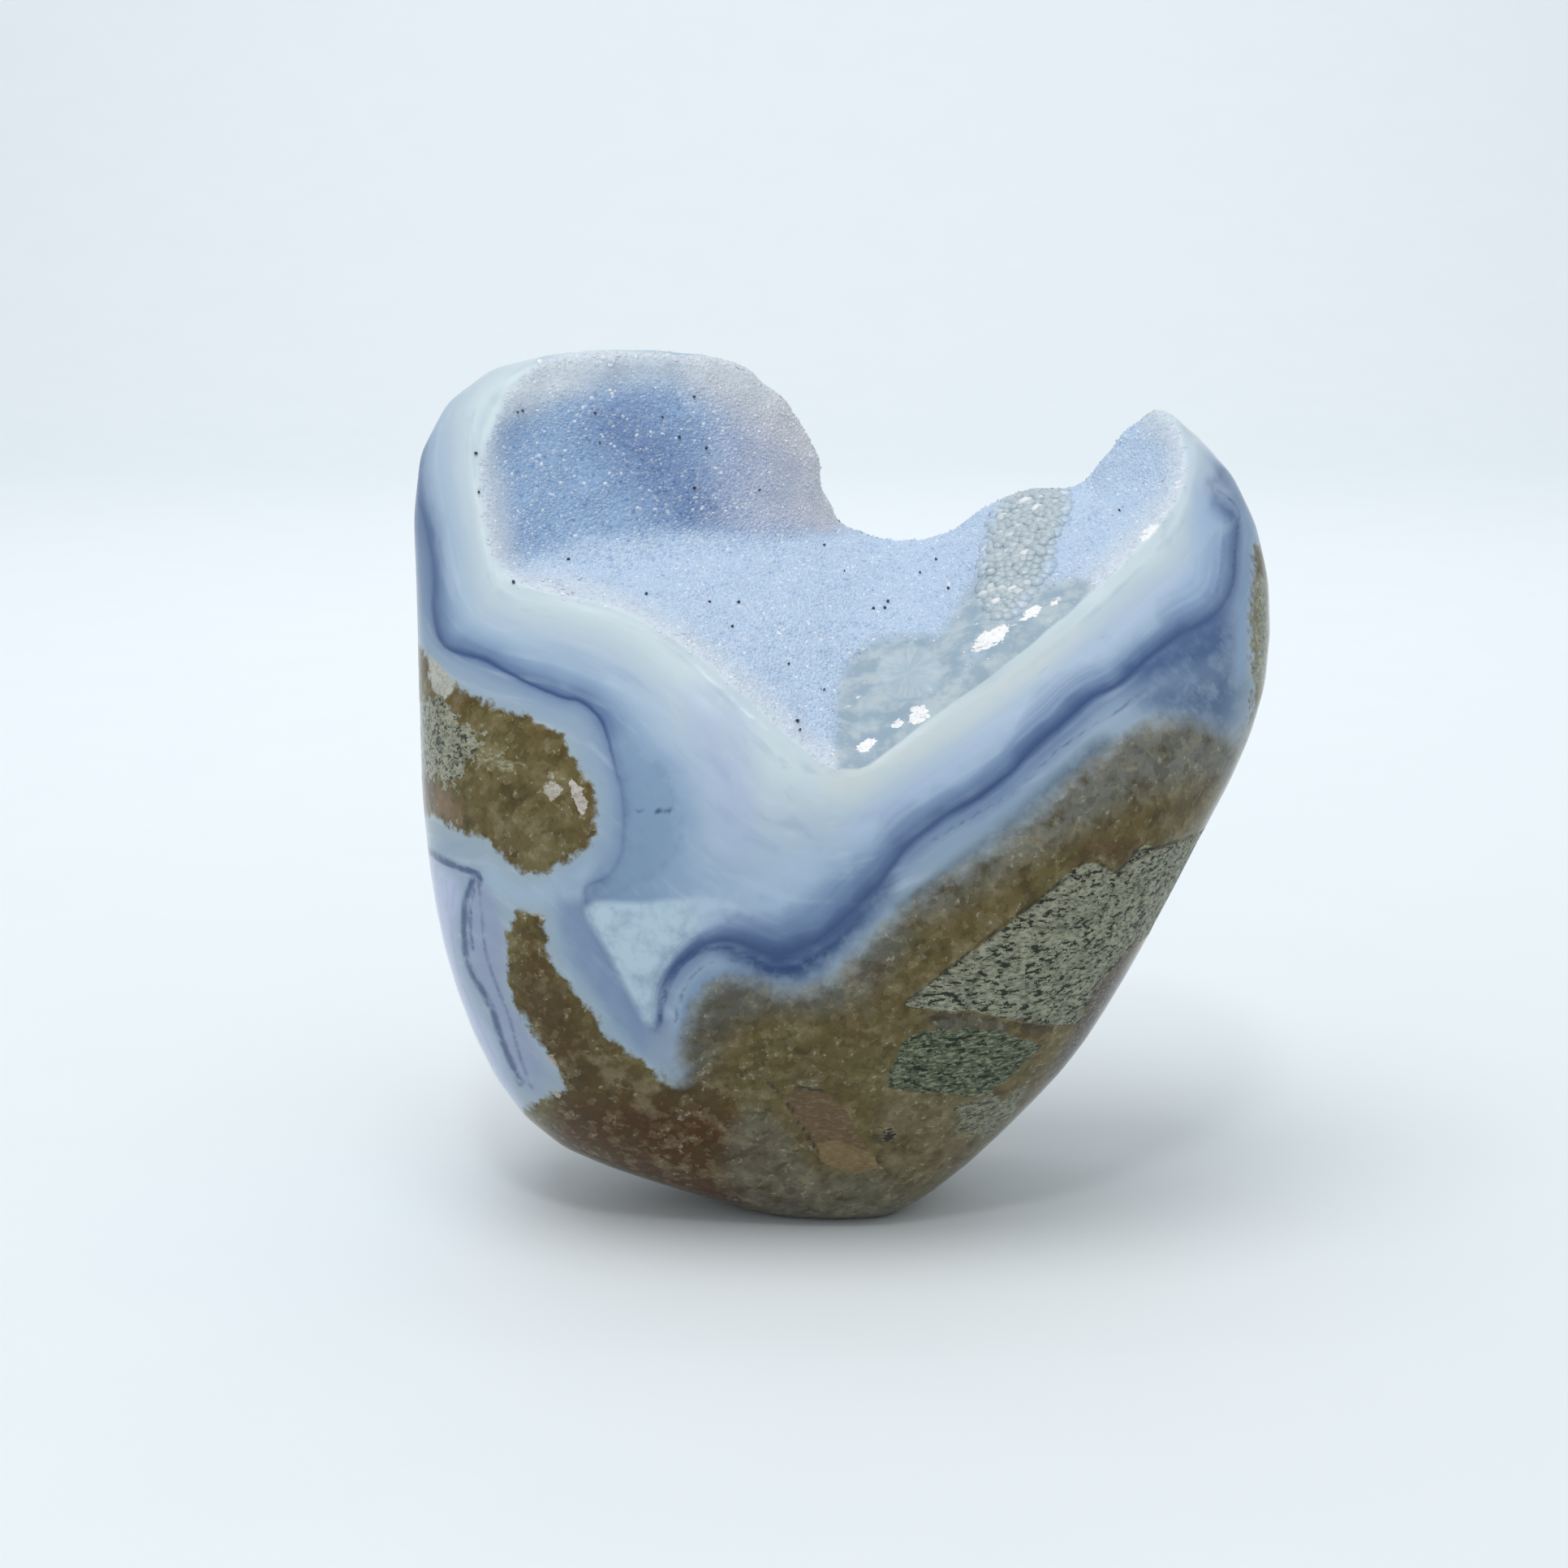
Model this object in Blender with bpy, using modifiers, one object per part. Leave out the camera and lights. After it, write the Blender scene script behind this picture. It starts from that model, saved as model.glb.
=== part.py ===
"""Blue lace agate geode: a polished free-form stone that stands on a small flat spot,
with a hollow lined by small quartz crystals that opens to the front and the top.

The stone is one natural piece (agate_stone) and the lining is one crust (druzy_crust).
Frame: metres, +Z up, the face looks along -Y, origin at the bottom centre of the box.
"""

import math
import random

import bmesh
import bpy
import numpy as np
from mathutils import Matrix, Vector, noise
from mathutils.bvhtree import BVHTree

MM = 0.001

# Stone, all in millimetres. The outline is the widest section, seen from the front as (x, z).
OUTLINE = [
    (39.9, 58.0), (38.9, 63.6), (36.6, 68.5), (32.9, 72.5), (28.5, 75.4), (20.0, 77.0), (5.0, 78.2),
    (-11.0, 79.3), (-18.5, 80.0), (-25.5, 80.0), (-31.0, 79.1), (-35.3, 76.8), (-38.3, 73.0),
    (-39.8, 68.0), (-39.9, 60.0), (-39.3, 48.4), (-39.0, 40.0), (-38.6, 32.0), (-37.6, 25.0),
    (-35.8, 18.6), (-33.3, 12.8), (-30.2, 8.4), (-27.0, 5.7), (-22.6, 3.6), (-14.3, 0.5),
    (-7.0, -1.8), (-0.5, -2.3), (4.4, -1.8), (10.0, 1.9), (15.6, 6.9), (21.5, 13.7), (26.1, 21.4),
    (30.6, 30.0), (34.4, 38.4), (37.3, 44.8), (39.3, 51.0),
]
CENTRE_X, CENTRE_Z = 0.0, 42.0

# Depth of the face and the back before and behind the widest section, and how much of it is left
# at the top and at the foot.
FRONT_DEPTH, BACK_DEPTH = 22.5, 22.0
FRONT_TOP_SHARE, BACK_TOP_SHARE = 0.42, 0.55
FRONT_FOOT_SHARE, BACK_FOOT_SHARE = 0.78, 0.72
THIN_FROM_Z, THIN_TO_Z = 38.0, 84.0
FOOT_TO_Z = 30.0
FRONT_SQUARENESS, BACK_SQUARENESS = 2.7, 2.9
EDGE_SHARE = 0.985

# The upper lobes lean back, and the polished skin is gently uneven.
TOP_LEAN, LEAN_FROM_Z, LEAN_TO_Z = 6.0, 40.0, 80.0
LUMP_HEIGHT, LUMP_SIZE = 0.45, 17.0
MERIDIANS, PARALLELS = 60, 28

# Hollow, in millimetres. Each row is one place round its mouth: the front rim (x, z), the back edge
# (x, z) where it breaks through, and how much the wall there is bowl (1) or sloping floor (0).
HOLLOW = [
    ((-32.9, 70.5), (-1.9, 70.4), 1.0),
    ((-32.3, 66.0), (-0.8, 66.0), 1.0),
    ((-31.2, 61.8), (-0.1, 62.6), 1.0),
    ((-28.0, 60.2), (1.4, 61.4), 0.9),
    ((-20.0, 58.7), (3.6, 60.8), 0.35),
    ((-13.0, 55.0), (5.4, 60.4), 0.1),
    ((-6.4, 49.4), (7.2, 60.3), 0.0),
    ((0.0, 45.6), (9.4, 60.8), 0.0),
    ((6.4, 49.8), (12.4, 61.4), 0.0),
    ((12.6, 53.6), (14.9, 62.3), 0.0),
    ((19.2, 58.0), (17.6, 64.7), 0.0),
    ((25.2, 62.6), (20.8, 65.5), 0.0),
    ((29.2, 66.6), (24.0, 66.4), 0.0),
    ((31.2, 70.4), (26.4, 70.8), 0.0),
    ((30.6, 74.6), (29.2, 74.6), 0.0),
    ((30.0, 86.0), (29.5, 86.0), 0.0),
    ((10.0, 94.0), (10.0, 94.0), 0.3),
    ((-14.0, 92.0), (-13.0, 86.0), 0.8),
    ((-25.0, 84.0), (-8.6, 79.0), 1.0),
    ((-30.2, 76.8), (-4.3, 74.8), 1.0),
]
ROW_SAMPLES = 4
BOWL_START, BOWL_END = 0.13, 0.5
BOWL_DRIFT = 0.4
MOUTH_CENTRE = np.array([0.0, 68.0])
MOUTH_FLARE = 0.35
INNER_STEPS = 14
DEPTH_STEPS = [-0.75, -0.3] + [i / INNER_STEPS for i in range(INNER_STEPS + 1)] + [1.3]

# Crust and its crystals, in millimetres. A growth is a ridge of larger crystals: its ends (x, z),
# its width and its height.
CRUST_GAP = 0.3
CRUST_THICK = 0.9
CRYSTAL_CELL = 2.38
CRYSTAL_CELL_MIN = 0.9
CRYSTAL_SLOPE = 0.32
CRYSTAL_JITTER = 0.3
FACE_MATCH = 0.1
GROWTHS = [((17.5, 66.0), (13.5, 58.0), 3.6, 1.6), ((12.0, 56.0), (4.5, 52.5), 3.8, 1.2)]

# Flat spot that the stone rests on: the height of its plane, and the block that cuts it.
SPOT_HEIGHT = -0.8
SPOT_BLOCK = 60.0

LOOKS = {
    "agate_stone": ((0.46, 0.55, 0.72, 1.0), 0.18),
    "druzy_crust": ((0.66, 0.73, 0.86, 1.0), 0.3),
}


def closed_spline(points, per_span):
    """A smooth closed curve (Catmull-Rom) through rows of numbers."""
    rows = np.array(points, float)
    curve = []
    for i in range(len(rows)):
        before, here, after, later = (rows[(i + k) % len(rows)] for k in (-1, 0, 1, 2))
        for step in range(per_span):
            t = step / per_span
            curve.append(
                here
                + 0.5 * t * (after - before)
                + 0.5 * t * t * (2 * before - 5 * here + 4 * after - later)
                + 0.5 * t**3 * (3 * here - before - 3 * after + later)
            )
    return np.array(curve)


def smooth_step(value, low, high):
    t = min(1.0, max(0.0, (value - low) / (high - low)))
    return t * t * (3 - 2 * t)


def outline_table():
    """The outline as sorted angles about the centre and their radii."""
    curve = closed_spline(OUTLINE, 8)
    dx, dz = curve[:, 0] - CENTRE_X, curve[:, 1] - CENTRE_Z
    angles = np.arctan2(dz, dx)
    order = np.argsort(angles)
    return angles[order], np.hypot(dx, dz)[order]


ANGLES, RADII = outline_table()


def outline_radius(angle):
    return float(np.interp(angle, ANGLES, RADII, period=2 * math.pi))


def middle_plane(z):
    """Where the widest section lies in depth: the upper lobes lean back."""
    return TOP_LEAN * smooth_step(z, LEAN_FROM_Z, LEAN_TO_Z)


def half_depth(z, front):
    """How far the face or the back stands from the widest section at a height."""
    top_share = FRONT_TOP_SHARE if front else BACK_TOP_SHARE
    foot_share = FRONT_FOOT_SHARE if front else BACK_FOOT_SHARE
    fade_up = 1 - (1 - top_share) * smooth_step(z, THIN_FROM_Z, THIN_TO_Z)
    fade_down = foot_share + (1 - foot_share) * smooth_step(z, 0.0, FOOT_TO_Z)
    return (FRONT_DEPTH if front else BACK_DEPTH) * fade_up * fade_down


def bulge(share, front):
    """Depth of a squarish dome, from 1 at its middle to 0 at the outline (share 1)."""
    power = FRONT_SQUARENESS if front else BACK_SQUARENESS
    return max(0.0, 1 - share**power) ** (1 / power)


def depth_at(z, share, front):
    return middle_plane(z) + (-1 if front else 1) * half_depth(z, front) * bulge(share, front)


def surface_y(x, z, front):
    """Depth of the stone's face or back at a place in the front view, also a little outside it."""
    reach = outline_radius(math.atan2(z - CENTRE_Z, x - CENTRE_X))
    share = math.hypot(x - CENTRE_X, z - CENTRE_Z) / reach
    return depth_at(z, min(share, EDGE_SHARE), front)


def place_on_stone(unit):
    """Moves a point of the unit sphere, whose poles become the face and the back, to the stone."""
    share = min(1.0, math.hypot(unit.x, unit.y))
    angle = math.atan2(unit.y, unit.x)
    reach = outline_radius(angle) * share
    x = CENTRE_X + reach * math.cos(angle)
    z = CENTRE_Z + reach * math.sin(angle)
    y = depth_at(z, share, unit.z > 0)
    place = Vector((x, y, z))
    lump = LUMP_HEIGHT * noise.noise(place / LUMP_SIZE)
    return place + lump * (place - Vector((CENTRE_X, middle_plane(z), CENTRE_Z))).normalized()


def new_object(name, mesh, collection):
    obj = bpy.data.objects.new(name, mesh)
    collection.objects.link(obj)
    return obj


def stone_form(name, collection):
    """The whole stone before the hollow is taken out: a sphere drawn out to the outline."""
    bm = bmesh.new()
    bmesh.ops.create_uvsphere(bm, u_segments=MERIDIANS, v_segments=PARALLELS, radius=1.0)
    for vert in bm.verts:
        vert.co = place_on_stone(vert.co) * MM
    mesh = bpy.data.meshes.new(name)
    bm.to_mesh(mesh)
    bm.free()
    return new_object(name, mesh, collection)


def hollow_point(rim, edge, bowl, share):
    """A point of the hollow's wall, from in front of the face (share under 0) to behind the back."""
    front_y = surface_y(rim[0], rim[1], True)
    back_y = surface_y(edge[0], edge[1], False)
    y = front_y + (back_y - front_y) * share
    inside = min(1.0, max(0.0, share))
    bowl_turn = BOWL_DRIFT * inside + (1 - BOWL_DRIFT) * smooth_step(inside, BOWL_START, BOWL_END)
    floor_turn = math.sin(0.5 * math.pi * inside)
    turn = bowl * bowl_turn + (1 - bowl) * floor_turn
    place = rim + (edge - rim) * turn
    if share < 0:
        place = place + (rim - MOUTH_CENTRE) * -share * MOUTH_FLARE
    return Vector((place[0], y, place[1]))


def hollow_rings():
    """Closed rings of points of the hollow, one for each depth step."""
    rows = closed_spline([(*rim, *edge, bowl) for rim, edge, bowl in HOLLOW], ROW_SAMPLES)
    return [
        [hollow_point(row[:2], row[2:4], min(1.0, max(0.0, row[4])), share) for row in rows]
        for share in DEPTH_STEPS
    ]


def ring_solid(name, rings, collection):
    """A closed solid lofted through rings of equal count, with both ends filled."""
    bm = bmesh.new()
    loops = [[bm.verts.new(point * MM) for point in ring] for ring in rings]
    count = len(rings[0])
    for lower, upper in zip(loops, loops[1:]):
        for i in range(count):
            j = (i + 1) % count
            bm.faces.new((lower[i], lower[j], upper[j], upper[i]))
    for end in (loops[0], loops[-1]):
        hub = bm.verts.new(sum((v.co for v in end), Vector()) / count)
        for i in range(count):
            bm.faces.new((end[i], end[(i + 1) % count], hub))
    bmesh.ops.recalc_face_normals(bm, faces=bm.faces)
    if bm.calc_volume(signed=True) < 0:
        bmesh.ops.reverse_faces(bm, faces=bm.faces)
    mesh = bpy.data.meshes.new(name)
    bm.to_mesh(mesh)
    bm.free()
    return new_object(name, mesh, collection)


def distance_to_segment(place, start, end):
    line = Vector(end) - Vector(start)
    share = (place - Vector(start)).dot(line) / line.length_squared
    return (place - Vector(start) - line * min(1.0, max(0.0, share))).length


def growth_height(co):
    """Extra thickness of the crust where the large grey crystals grew, by place in the front view."""
    place = Vector((co.x, co.z)) / MM
    return max(
        height * (1 - smooth_step(distance_to_segment(place, start, end), 0.35 * width, width))
        for start, end, width, height in GROWTHS
    )


def grow(obj, depth_of):
    """Moves each vertex of a cutter outward by depth_of(place), in millimetres."""
    bm = bmesh.new()
    bm.from_mesh(obj.data)
    bm.normal_update()
    moves = {vert: vert.normal * depth_of(vert.co) * MM for vert in bm.verts}
    for vert, move in moves.items():
        vert.co += move
    bm.to_mesh(obj.data)
    bm.free()


def apply_modifiers(obj):
    graph = bpy.context.evaluated_depsgraph_get()
    mesh = bpy.data.meshes.new_from_object(obj.evaluated_get(graph))
    obj.modifiers.clear()
    obj.data = mesh


def even_cells(obj, size):
    """Lays the surface out again in even four-sided cells."""
    remesh = obj.modifiers.new("cells", "REMESH")
    remesh.mode = "VOXEL"
    remesh.voxel_size = size * MM
    apply_modifiers(obj)


def roughen(obj, reach):
    """Shifts each vertex at random, so that the cells become uneven."""
    rng = random.Random(5)
    for vert in obj.data.vertices:
        vert.co += Vector([rng.uniform(-1, 1) for _ in range(3)]) * reach * MM


def grow_crystals(crust, face_cutter):
    """Raises each cell of the crust that lines the hollow to a flat-sided point."""
    rng = random.Random(7)
    wall = face_cutter.data
    tree = BVHTree.FromPolygons([v.co for v in wall.vertices], [p.vertices[:] for p in wall.polygons])
    bm = bmesh.new()
    bm.from_mesh(crust.data)
    cells = [
        face
        for face in bm.faces
        if tree.find_nearest(face.calc_center_median())[3] < FACE_MATCH * MM
        and face.calc_area() > (CRYSTAL_CELL_MIN * MM) ** 2
    ]
    made = bmesh.ops.poke(bm, faces=cells)
    bm.normal_update()
    for tip in made["verts"]:
        width = math.sqrt(sum(face.calc_area() for face in tip.link_faces))
        sway = Vector([rng.uniform(-0.3, 0.3) for _ in range(3)])
        tip.co += (tip.normal + sway).normalized() * width * CRYSTAL_SLOPE * rng.uniform(0.5, 1.4)
    bm.to_mesh(crust.data)
    bm.free()


def apply_boolean(obj, other, operation, solver="EXACT"):
    modifier = obj.modifiers.new(operation.lower(), "BOOLEAN")
    modifier.operation = operation
    modifier.object = other
    modifier.solver = solver
    apply_modifiers(obj)


def keep_largest_piece(obj):
    """Drops crumbs that a cut leaves loose."""
    bm = bmesh.new()
    bm.from_mesh(obj.data)
    left, pieces = set(bm.verts), []
    while left:
        stack, piece = [left.pop()], []
        while stack:
            vert = stack.pop()
            piece.append(vert)
            for edge in vert.link_edges:
                other = edge.other_vert(vert)
                if other in left:
                    left.remove(other)
                    stack.append(other)
        pieces.append(piece)
    pieces.sort(key=len)
    for piece in pieces[:-1]:
        bmesh.ops.delete(bm, geom=piece, context="VERTS")
    bmesh.ops.dissolve_degenerate(bm, dist=0.00002, edges=bm.edges)
    bmesh.ops.triangulate(bm, faces=bm.faces)
    bm.to_mesh(obj.data)
    bm.free()


def stand_at_origin(objects):
    """Moves the pieces together, so that the origin is the bottom centre of their box."""
    corners = np.array([vert.co for obj in objects for vert in obj.data.vertices])
    low, high = corners.min(axis=0), corners.max(axis=0)
    middle = (low + high) / 2
    for obj in objects:
        obj.data.transform(Matrix.Translation((-middle[0], -middle[1], -low[2])))


def copy_of(obj, name, collection):
    return new_object(name, obj.data.copy(), collection)


def finish_looks(obj, smooth_angle):
    colour, roughness = LOOKS[obj.name]
    material = bpy.data.materials.new(obj.name)
    material.use_nodes = True
    shader = material.node_tree.nodes["Principled BSDF"]
    shader.inputs["Base Color"].default_value = colour
    shader.inputs["Roughness"].default_value = roughness
    obj.data.materials.clear()
    obj.data.materials.append(material)
    if smooth_angle:
        obj.data.shade_smooth()
        obj.data.set_sharp_from_angle(angle=math.radians(smooth_angle))


def new_collection(name):
    collection = bpy.data.collections.new(name)
    bpy.context.scene.collection.children.link(collection)
    return collection


def hide_cutters(collection):
    for obj in collection.objects:
        obj.hide_render = True
        obj.display_type = "WIRE"


def build():
    for obj in list(bpy.data.objects):
        bpy.data.objects.remove(obj)
    parts = new_collection("blue_lace_agate_geode")
    cutters = new_collection("cutters")

    stone = stone_form("agate_stone", parts)
    crust = copy_of(stone, "druzy_crust", parts)
    rings = hollow_rings()
    hollow = ring_solid("hollow_cutter", rings, cutters)
    grow(hollow, lambda co: CRUST_GAP + CRUST_THICK)
    even_cells(hollow, CRYSTAL_CELL)
    crust_back = copy_of(hollow, "crust_back_cutter", cutters)
    grow(crust_back, lambda co: -CRUST_GAP)
    crust_face = ring_solid("crust_face_cutter", rings, cutters)
    grow(crust_face, lambda co: -growth_height(co))
    even_cells(crust_face, CRYSTAL_CELL)
    roughen(crust_face, CRYSTAL_JITTER)

    spot = bmesh.new()
    below = Matrix.Translation((0, 0, (SPOT_HEIGHT - SPOT_BLOCK / 2) * MM))
    bmesh.ops.create_cube(spot, size=SPOT_BLOCK * MM, matrix=below)
    spot_mesh = bpy.data.meshes.new("flat_spot_cutter")
    spot.to_mesh(spot_mesh)
    spot.free()
    flat_spot = new_object("flat_spot_cutter", spot_mesh, cutters)

    apply_boolean(stone, hollow, "DIFFERENCE")
    apply_boolean(stone, flat_spot, "DIFFERENCE")
    # The exact solver loses the thin crust between two uneven walls, and this one keeps it.
    apply_boolean(crust, crust_back, "INTERSECT", "MANIFOLD")
    apply_boolean(crust, crust_face, "DIFFERENCE", "MANIFOLD")
    grow_crystals(crust, crust_face)
    for obj in (stone, crust):
        keep_largest_piece(obj)
    stand_at_origin((stone, crust))
    finish_looks(stone, 40)
    finish_looks(crust, 0)
    hide_cutters(cutters)


build()
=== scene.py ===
import math

import bpy
import numpy as np
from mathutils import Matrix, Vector, noise
from mathutils.bvhtree import BVHTree


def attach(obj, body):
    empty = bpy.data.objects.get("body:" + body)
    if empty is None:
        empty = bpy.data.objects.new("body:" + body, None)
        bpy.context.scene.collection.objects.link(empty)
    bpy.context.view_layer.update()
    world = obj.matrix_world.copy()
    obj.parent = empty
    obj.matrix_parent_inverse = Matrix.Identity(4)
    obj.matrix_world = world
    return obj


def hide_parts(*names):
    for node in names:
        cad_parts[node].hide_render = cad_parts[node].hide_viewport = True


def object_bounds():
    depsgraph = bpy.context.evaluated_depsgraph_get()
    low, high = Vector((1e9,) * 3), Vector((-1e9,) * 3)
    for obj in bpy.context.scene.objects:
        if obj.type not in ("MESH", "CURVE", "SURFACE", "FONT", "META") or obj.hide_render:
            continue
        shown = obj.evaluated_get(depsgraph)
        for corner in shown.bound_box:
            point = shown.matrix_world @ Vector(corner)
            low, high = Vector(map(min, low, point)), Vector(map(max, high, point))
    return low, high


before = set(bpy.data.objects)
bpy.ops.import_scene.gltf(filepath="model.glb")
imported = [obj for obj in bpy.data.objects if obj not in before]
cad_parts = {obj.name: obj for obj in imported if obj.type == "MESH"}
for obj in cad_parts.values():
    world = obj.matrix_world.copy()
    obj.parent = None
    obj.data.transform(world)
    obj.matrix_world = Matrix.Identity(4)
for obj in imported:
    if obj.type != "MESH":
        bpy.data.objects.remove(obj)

mm = 0.001
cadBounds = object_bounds()
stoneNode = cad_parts["agate_stone"]
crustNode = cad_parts["druzy_crust"]


# Camera

shot = {
    "place": (-5.3, -264.88, 97.12),  # mm, in the frame of the stone
    "lookDown": 12.0,  # degrees under the horizon, looking along +Y
    "focalPixels": 3553.0,
    "framePixels": 1932.0,
    "sensor": 36.0,
}


def addCamera():
    data = bpy.data.cameras.new("photoCamera")
    data.sensor_width = shot["sensor"]
    data.lens = shot["sensor"] * shot["focalPixels"] / shot["framePixels"]
    data.clip_start = 0.01
    data.clip_end = 20.0
    camera = bpy.data.objects.new("photoCamera", data)
    camera.location = Vector(shot["place"]) * mm
    camera.rotation_euler = (math.radians(90.0 - shot["lookDown"]), 0.0, 0.0)
    bpy.context.scene.collection.objects.link(camera)
    bpy.context.scene.camera = camera


# where points of the stone, in metres, lie in the 1932 pixel frame of the photograph
def pixelsOf(points):
    tilt = math.radians(shot["lookDown"])
    away = np.asarray(points) / mm - np.array(shot["place"])
    depth = away[:, 1] * math.cos(tilt) - away[:, 2] * math.sin(tilt)
    rise = away[:, 1] * math.sin(tilt) + away[:, 2] * math.cos(tilt)
    half = shot["framePixels"] / 2
    scale = shot["focalPixels"] / depth
    return np.column_stack((half + away[:, 0] * scale, half - rise * scale))


# Markings: points placed in the 1932 pixel frame of the photograph

pixelSize = 0.0765  # mm of stone to a pixel

# a third number in a line is the strength of its ink
lines = {
    "rim": [
        (700, 455), (640, 470), (600, 505), (590, 560), (598, 620), (612, 690), (630, 722), (700, 735),
        (760, 757), (825, 792), (900, 848), (960, 903), (1005, 938), (1045, 948), (1090, 918),
        (1150, 880), (1210, 843), (1275, 795), (1340, 742), (1395, 690), (1440, 640), (1465, 590),
        (1462, 545), (1430, 505),
    ],
    "notch": [
        (890, 445), (935, 465), (985, 510), (1010, 550), (1026, 595), (1033, 645), (1075, 655),
        (1110, 665), (1150, 658), (1190, 643), (1235, 612), (1300, 600), (1335, 582), (1360, 547),
        (1395, 512), (1430, 499),
    ],
    "crease": [
        (620, 705), (660, 688), (720, 668), (790, 655), (860, 650), (940, 655), (1033, 650),
    ],
    "topEdge": [
        (640, 482), (700, 455), (780, 440), (890, 442), (935, 465),
    ],
    "leftLine": [
        (508, 560, 0.2), (520, 630, 0.3), (533, 690, 0.3), (534, 750, 0.5), (548, 795, 0.8),
        (600, 815, 1.0), (650, 840, 1.0), (690, 857, 1.0), (717, 864, 1.0), (736, 881, 1.0),
        (748, 905, 0.8), (757, 940, 0.45), (768, 980, 0.2), (769, 1040, 0.12), (750, 1082, 0.2),
        (722, 1112, 0.15),
    ],
    "rightLine": [
        (803, 1268, 0.1), (813, 1225, 0.7), (835, 1190, 1.0), (870, 1163, 0.9), (905, 1160, 0.9),
        (940, 1174, 1.0), (970, 1176, 1.0), (1020, 1150, 0.9), (1075, 1095, 0.8), (1115, 1045, 0.8),
        (1160, 1008, 0.8), (1200, 985, 1.0), (1240, 955, 1.0), (1270, 925, 1.0), (1310, 890, 1.0),
        (1345, 858, 1.0), (1380, 840, 0.9), (1415, 808, 0.9), (1455, 780, 0.8), (1498, 757, 0.7),
        (1519, 722, 0.6), (1523, 680, 0.5), (1522, 640, 0.4), (1490, 597, 0.1),
    ],
}

# closed outlines that hold one kind of rock
beds = {
    "island": [
        (500, 800), (529, 811), (577, 855), (605, 868), (643, 881), (672, 897), (691, 903), (704, 929),
        (723, 957), (731, 973), (734, 1005), (728, 1037), (704, 1056), (682, 1070), (656, 1078),
        (634, 1069), (618, 1053), (592, 1031), (564, 1024), (538, 1005), (500, 985),
    ],
    "matrix": [
        (650, 1122), (668, 1132), (680, 1184), (699, 1214), (730, 1245), (745, 1275), (768, 1291),
        (798, 1314), (825, 1337), (844, 1325), (837, 1298), (846, 1264), (856, 1237), (883, 1210),
        (913, 1207), (944, 1214), (976, 1222), (1030, 1203), (1078, 1153), (1125, 1110), (1170, 1078),
        (1206, 1058), (1263, 1015), (1320, 962), (1362, 927), (1400, 900), (1455, 888), (1494, 900),
        (1530, 912), (1545, 850), (1540, 790), (1544, 720), (1551, 668), (1610, 640), (1650, 1000),
        (1500, 1600), (600, 1600), (600, 1420), (665, 1356), (695, 1340), (672, 1295), (649, 1260),
        (630, 1222), (624, 1165), (632, 1130),
    ],
}

# thin dark lines drawn over the bands: width in mm, strength and course
veins = {
    "lowerLeft": (0.34, 1.1, [
        (500, 1026), (520, 1042), (545, 1060), (570, 1070), (588, 1078), (592, 1086),
    ]),
    "lowerLeftRun": (0.38, 0.85, [
        (582, 1085), (574, 1108), (572, 1140), (573, 1170), (580, 1195), (595, 1222), (608, 1248),
        (616, 1275), (628, 1305), (642, 1335),
    ]),
    "lowerLeftLoop": (0.2, 0.65, [
        (584, 1096), (581, 1115), (580, 1145), (583, 1170),
    ]),
    "lowerLeftFaint": (0.26, 0.5, [
        (590, 1090), (594, 1130), (598, 1170), (612, 1215), (628, 1255), (640, 1300), (655, 1340),
    ]),
    "lowerLeftOuter": (0.34, 0.3, [
        (560, 1090), (556, 1140), (566, 1200), (590, 1260), (612, 1310),
    ]),
    "noduleLine": (0.15, 0.85, [
        (768, 1004), (785, 999), (800, 1003), (815, 998), (834, 1000),
    ]),
    "noduleArc": (0.9, 0.26, [
        (775, 920), (800, 935), (826, 965), (838, 1005), (835, 1040), (815, 1068), (775, 1092),
        (722, 1112),
    ]),
    "noduleCurl": (0.2, 0.25, [
        (795, 968), (806, 980), (822, 984), (832, 972), (822, 960),
    ]),
    "branchHigh": (0.16, 0.3, [
        (1255, 850), (1300, 815), (1340, 792), (1390, 776), (1440, 768),
    ]),
    "branchLow": (0.2, 0.5, [
        (1150, 1035), (1200, 1005), (1250, 975), (1290, 936), (1320, 912), (1350, 892), (1372, 880),
        (1410, 850),
    ]),
    "branchSide": (0.12, 0.35, [
        (1352, 838), (1368, 848), (1370, 870),
    ]),
    "hornLine": (0.18, 0.55, [
        (1500, 604), (1515, 615), (1527, 632), (1523, 660), (1519, 722),
    ]),
    "hornInner": (0.3, 0.35, [
        (1508, 640), (1506, 690), (1498, 735),
    ]),
    "curlCore": (0.36, 0.75, [
        (812, 1262), (816, 1235), (828, 1205), (848, 1180), (878, 1168), (905, 1170), (935, 1186),
        (955, 1196), (985, 1192),
    ]),
    "curlInner": (0.24, 0.5, [
        (832, 1262), (838, 1232), (852, 1204), (876, 1186), (905, 1184),
    ]),
}

# open cracks in the rock: width in mm and course
cracks = {
    "clastTop": (0.3, [
        (1113, 1240), (1160, 1202), (1200, 1170), (1240, 1138), (1280, 1110), (1328, 1072),
        (1345, 1058), (1378, 1076), (1400, 1050), (1432, 1044), (1470, 1030),
    ]),
    "clastFoot": (0.34, [
        (1110, 1241), (1150, 1256), (1200, 1250), (1240, 1262), (1290, 1268),
    ]),
    "brownLeft": (0.32, [
        (939, 1329), (962, 1350), (985, 1385), (1006, 1419),
    ]),
    "brownTop": (0.28, [
        (985, 1340), (1010, 1346), (1040, 1350),
    ]),
}


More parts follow.
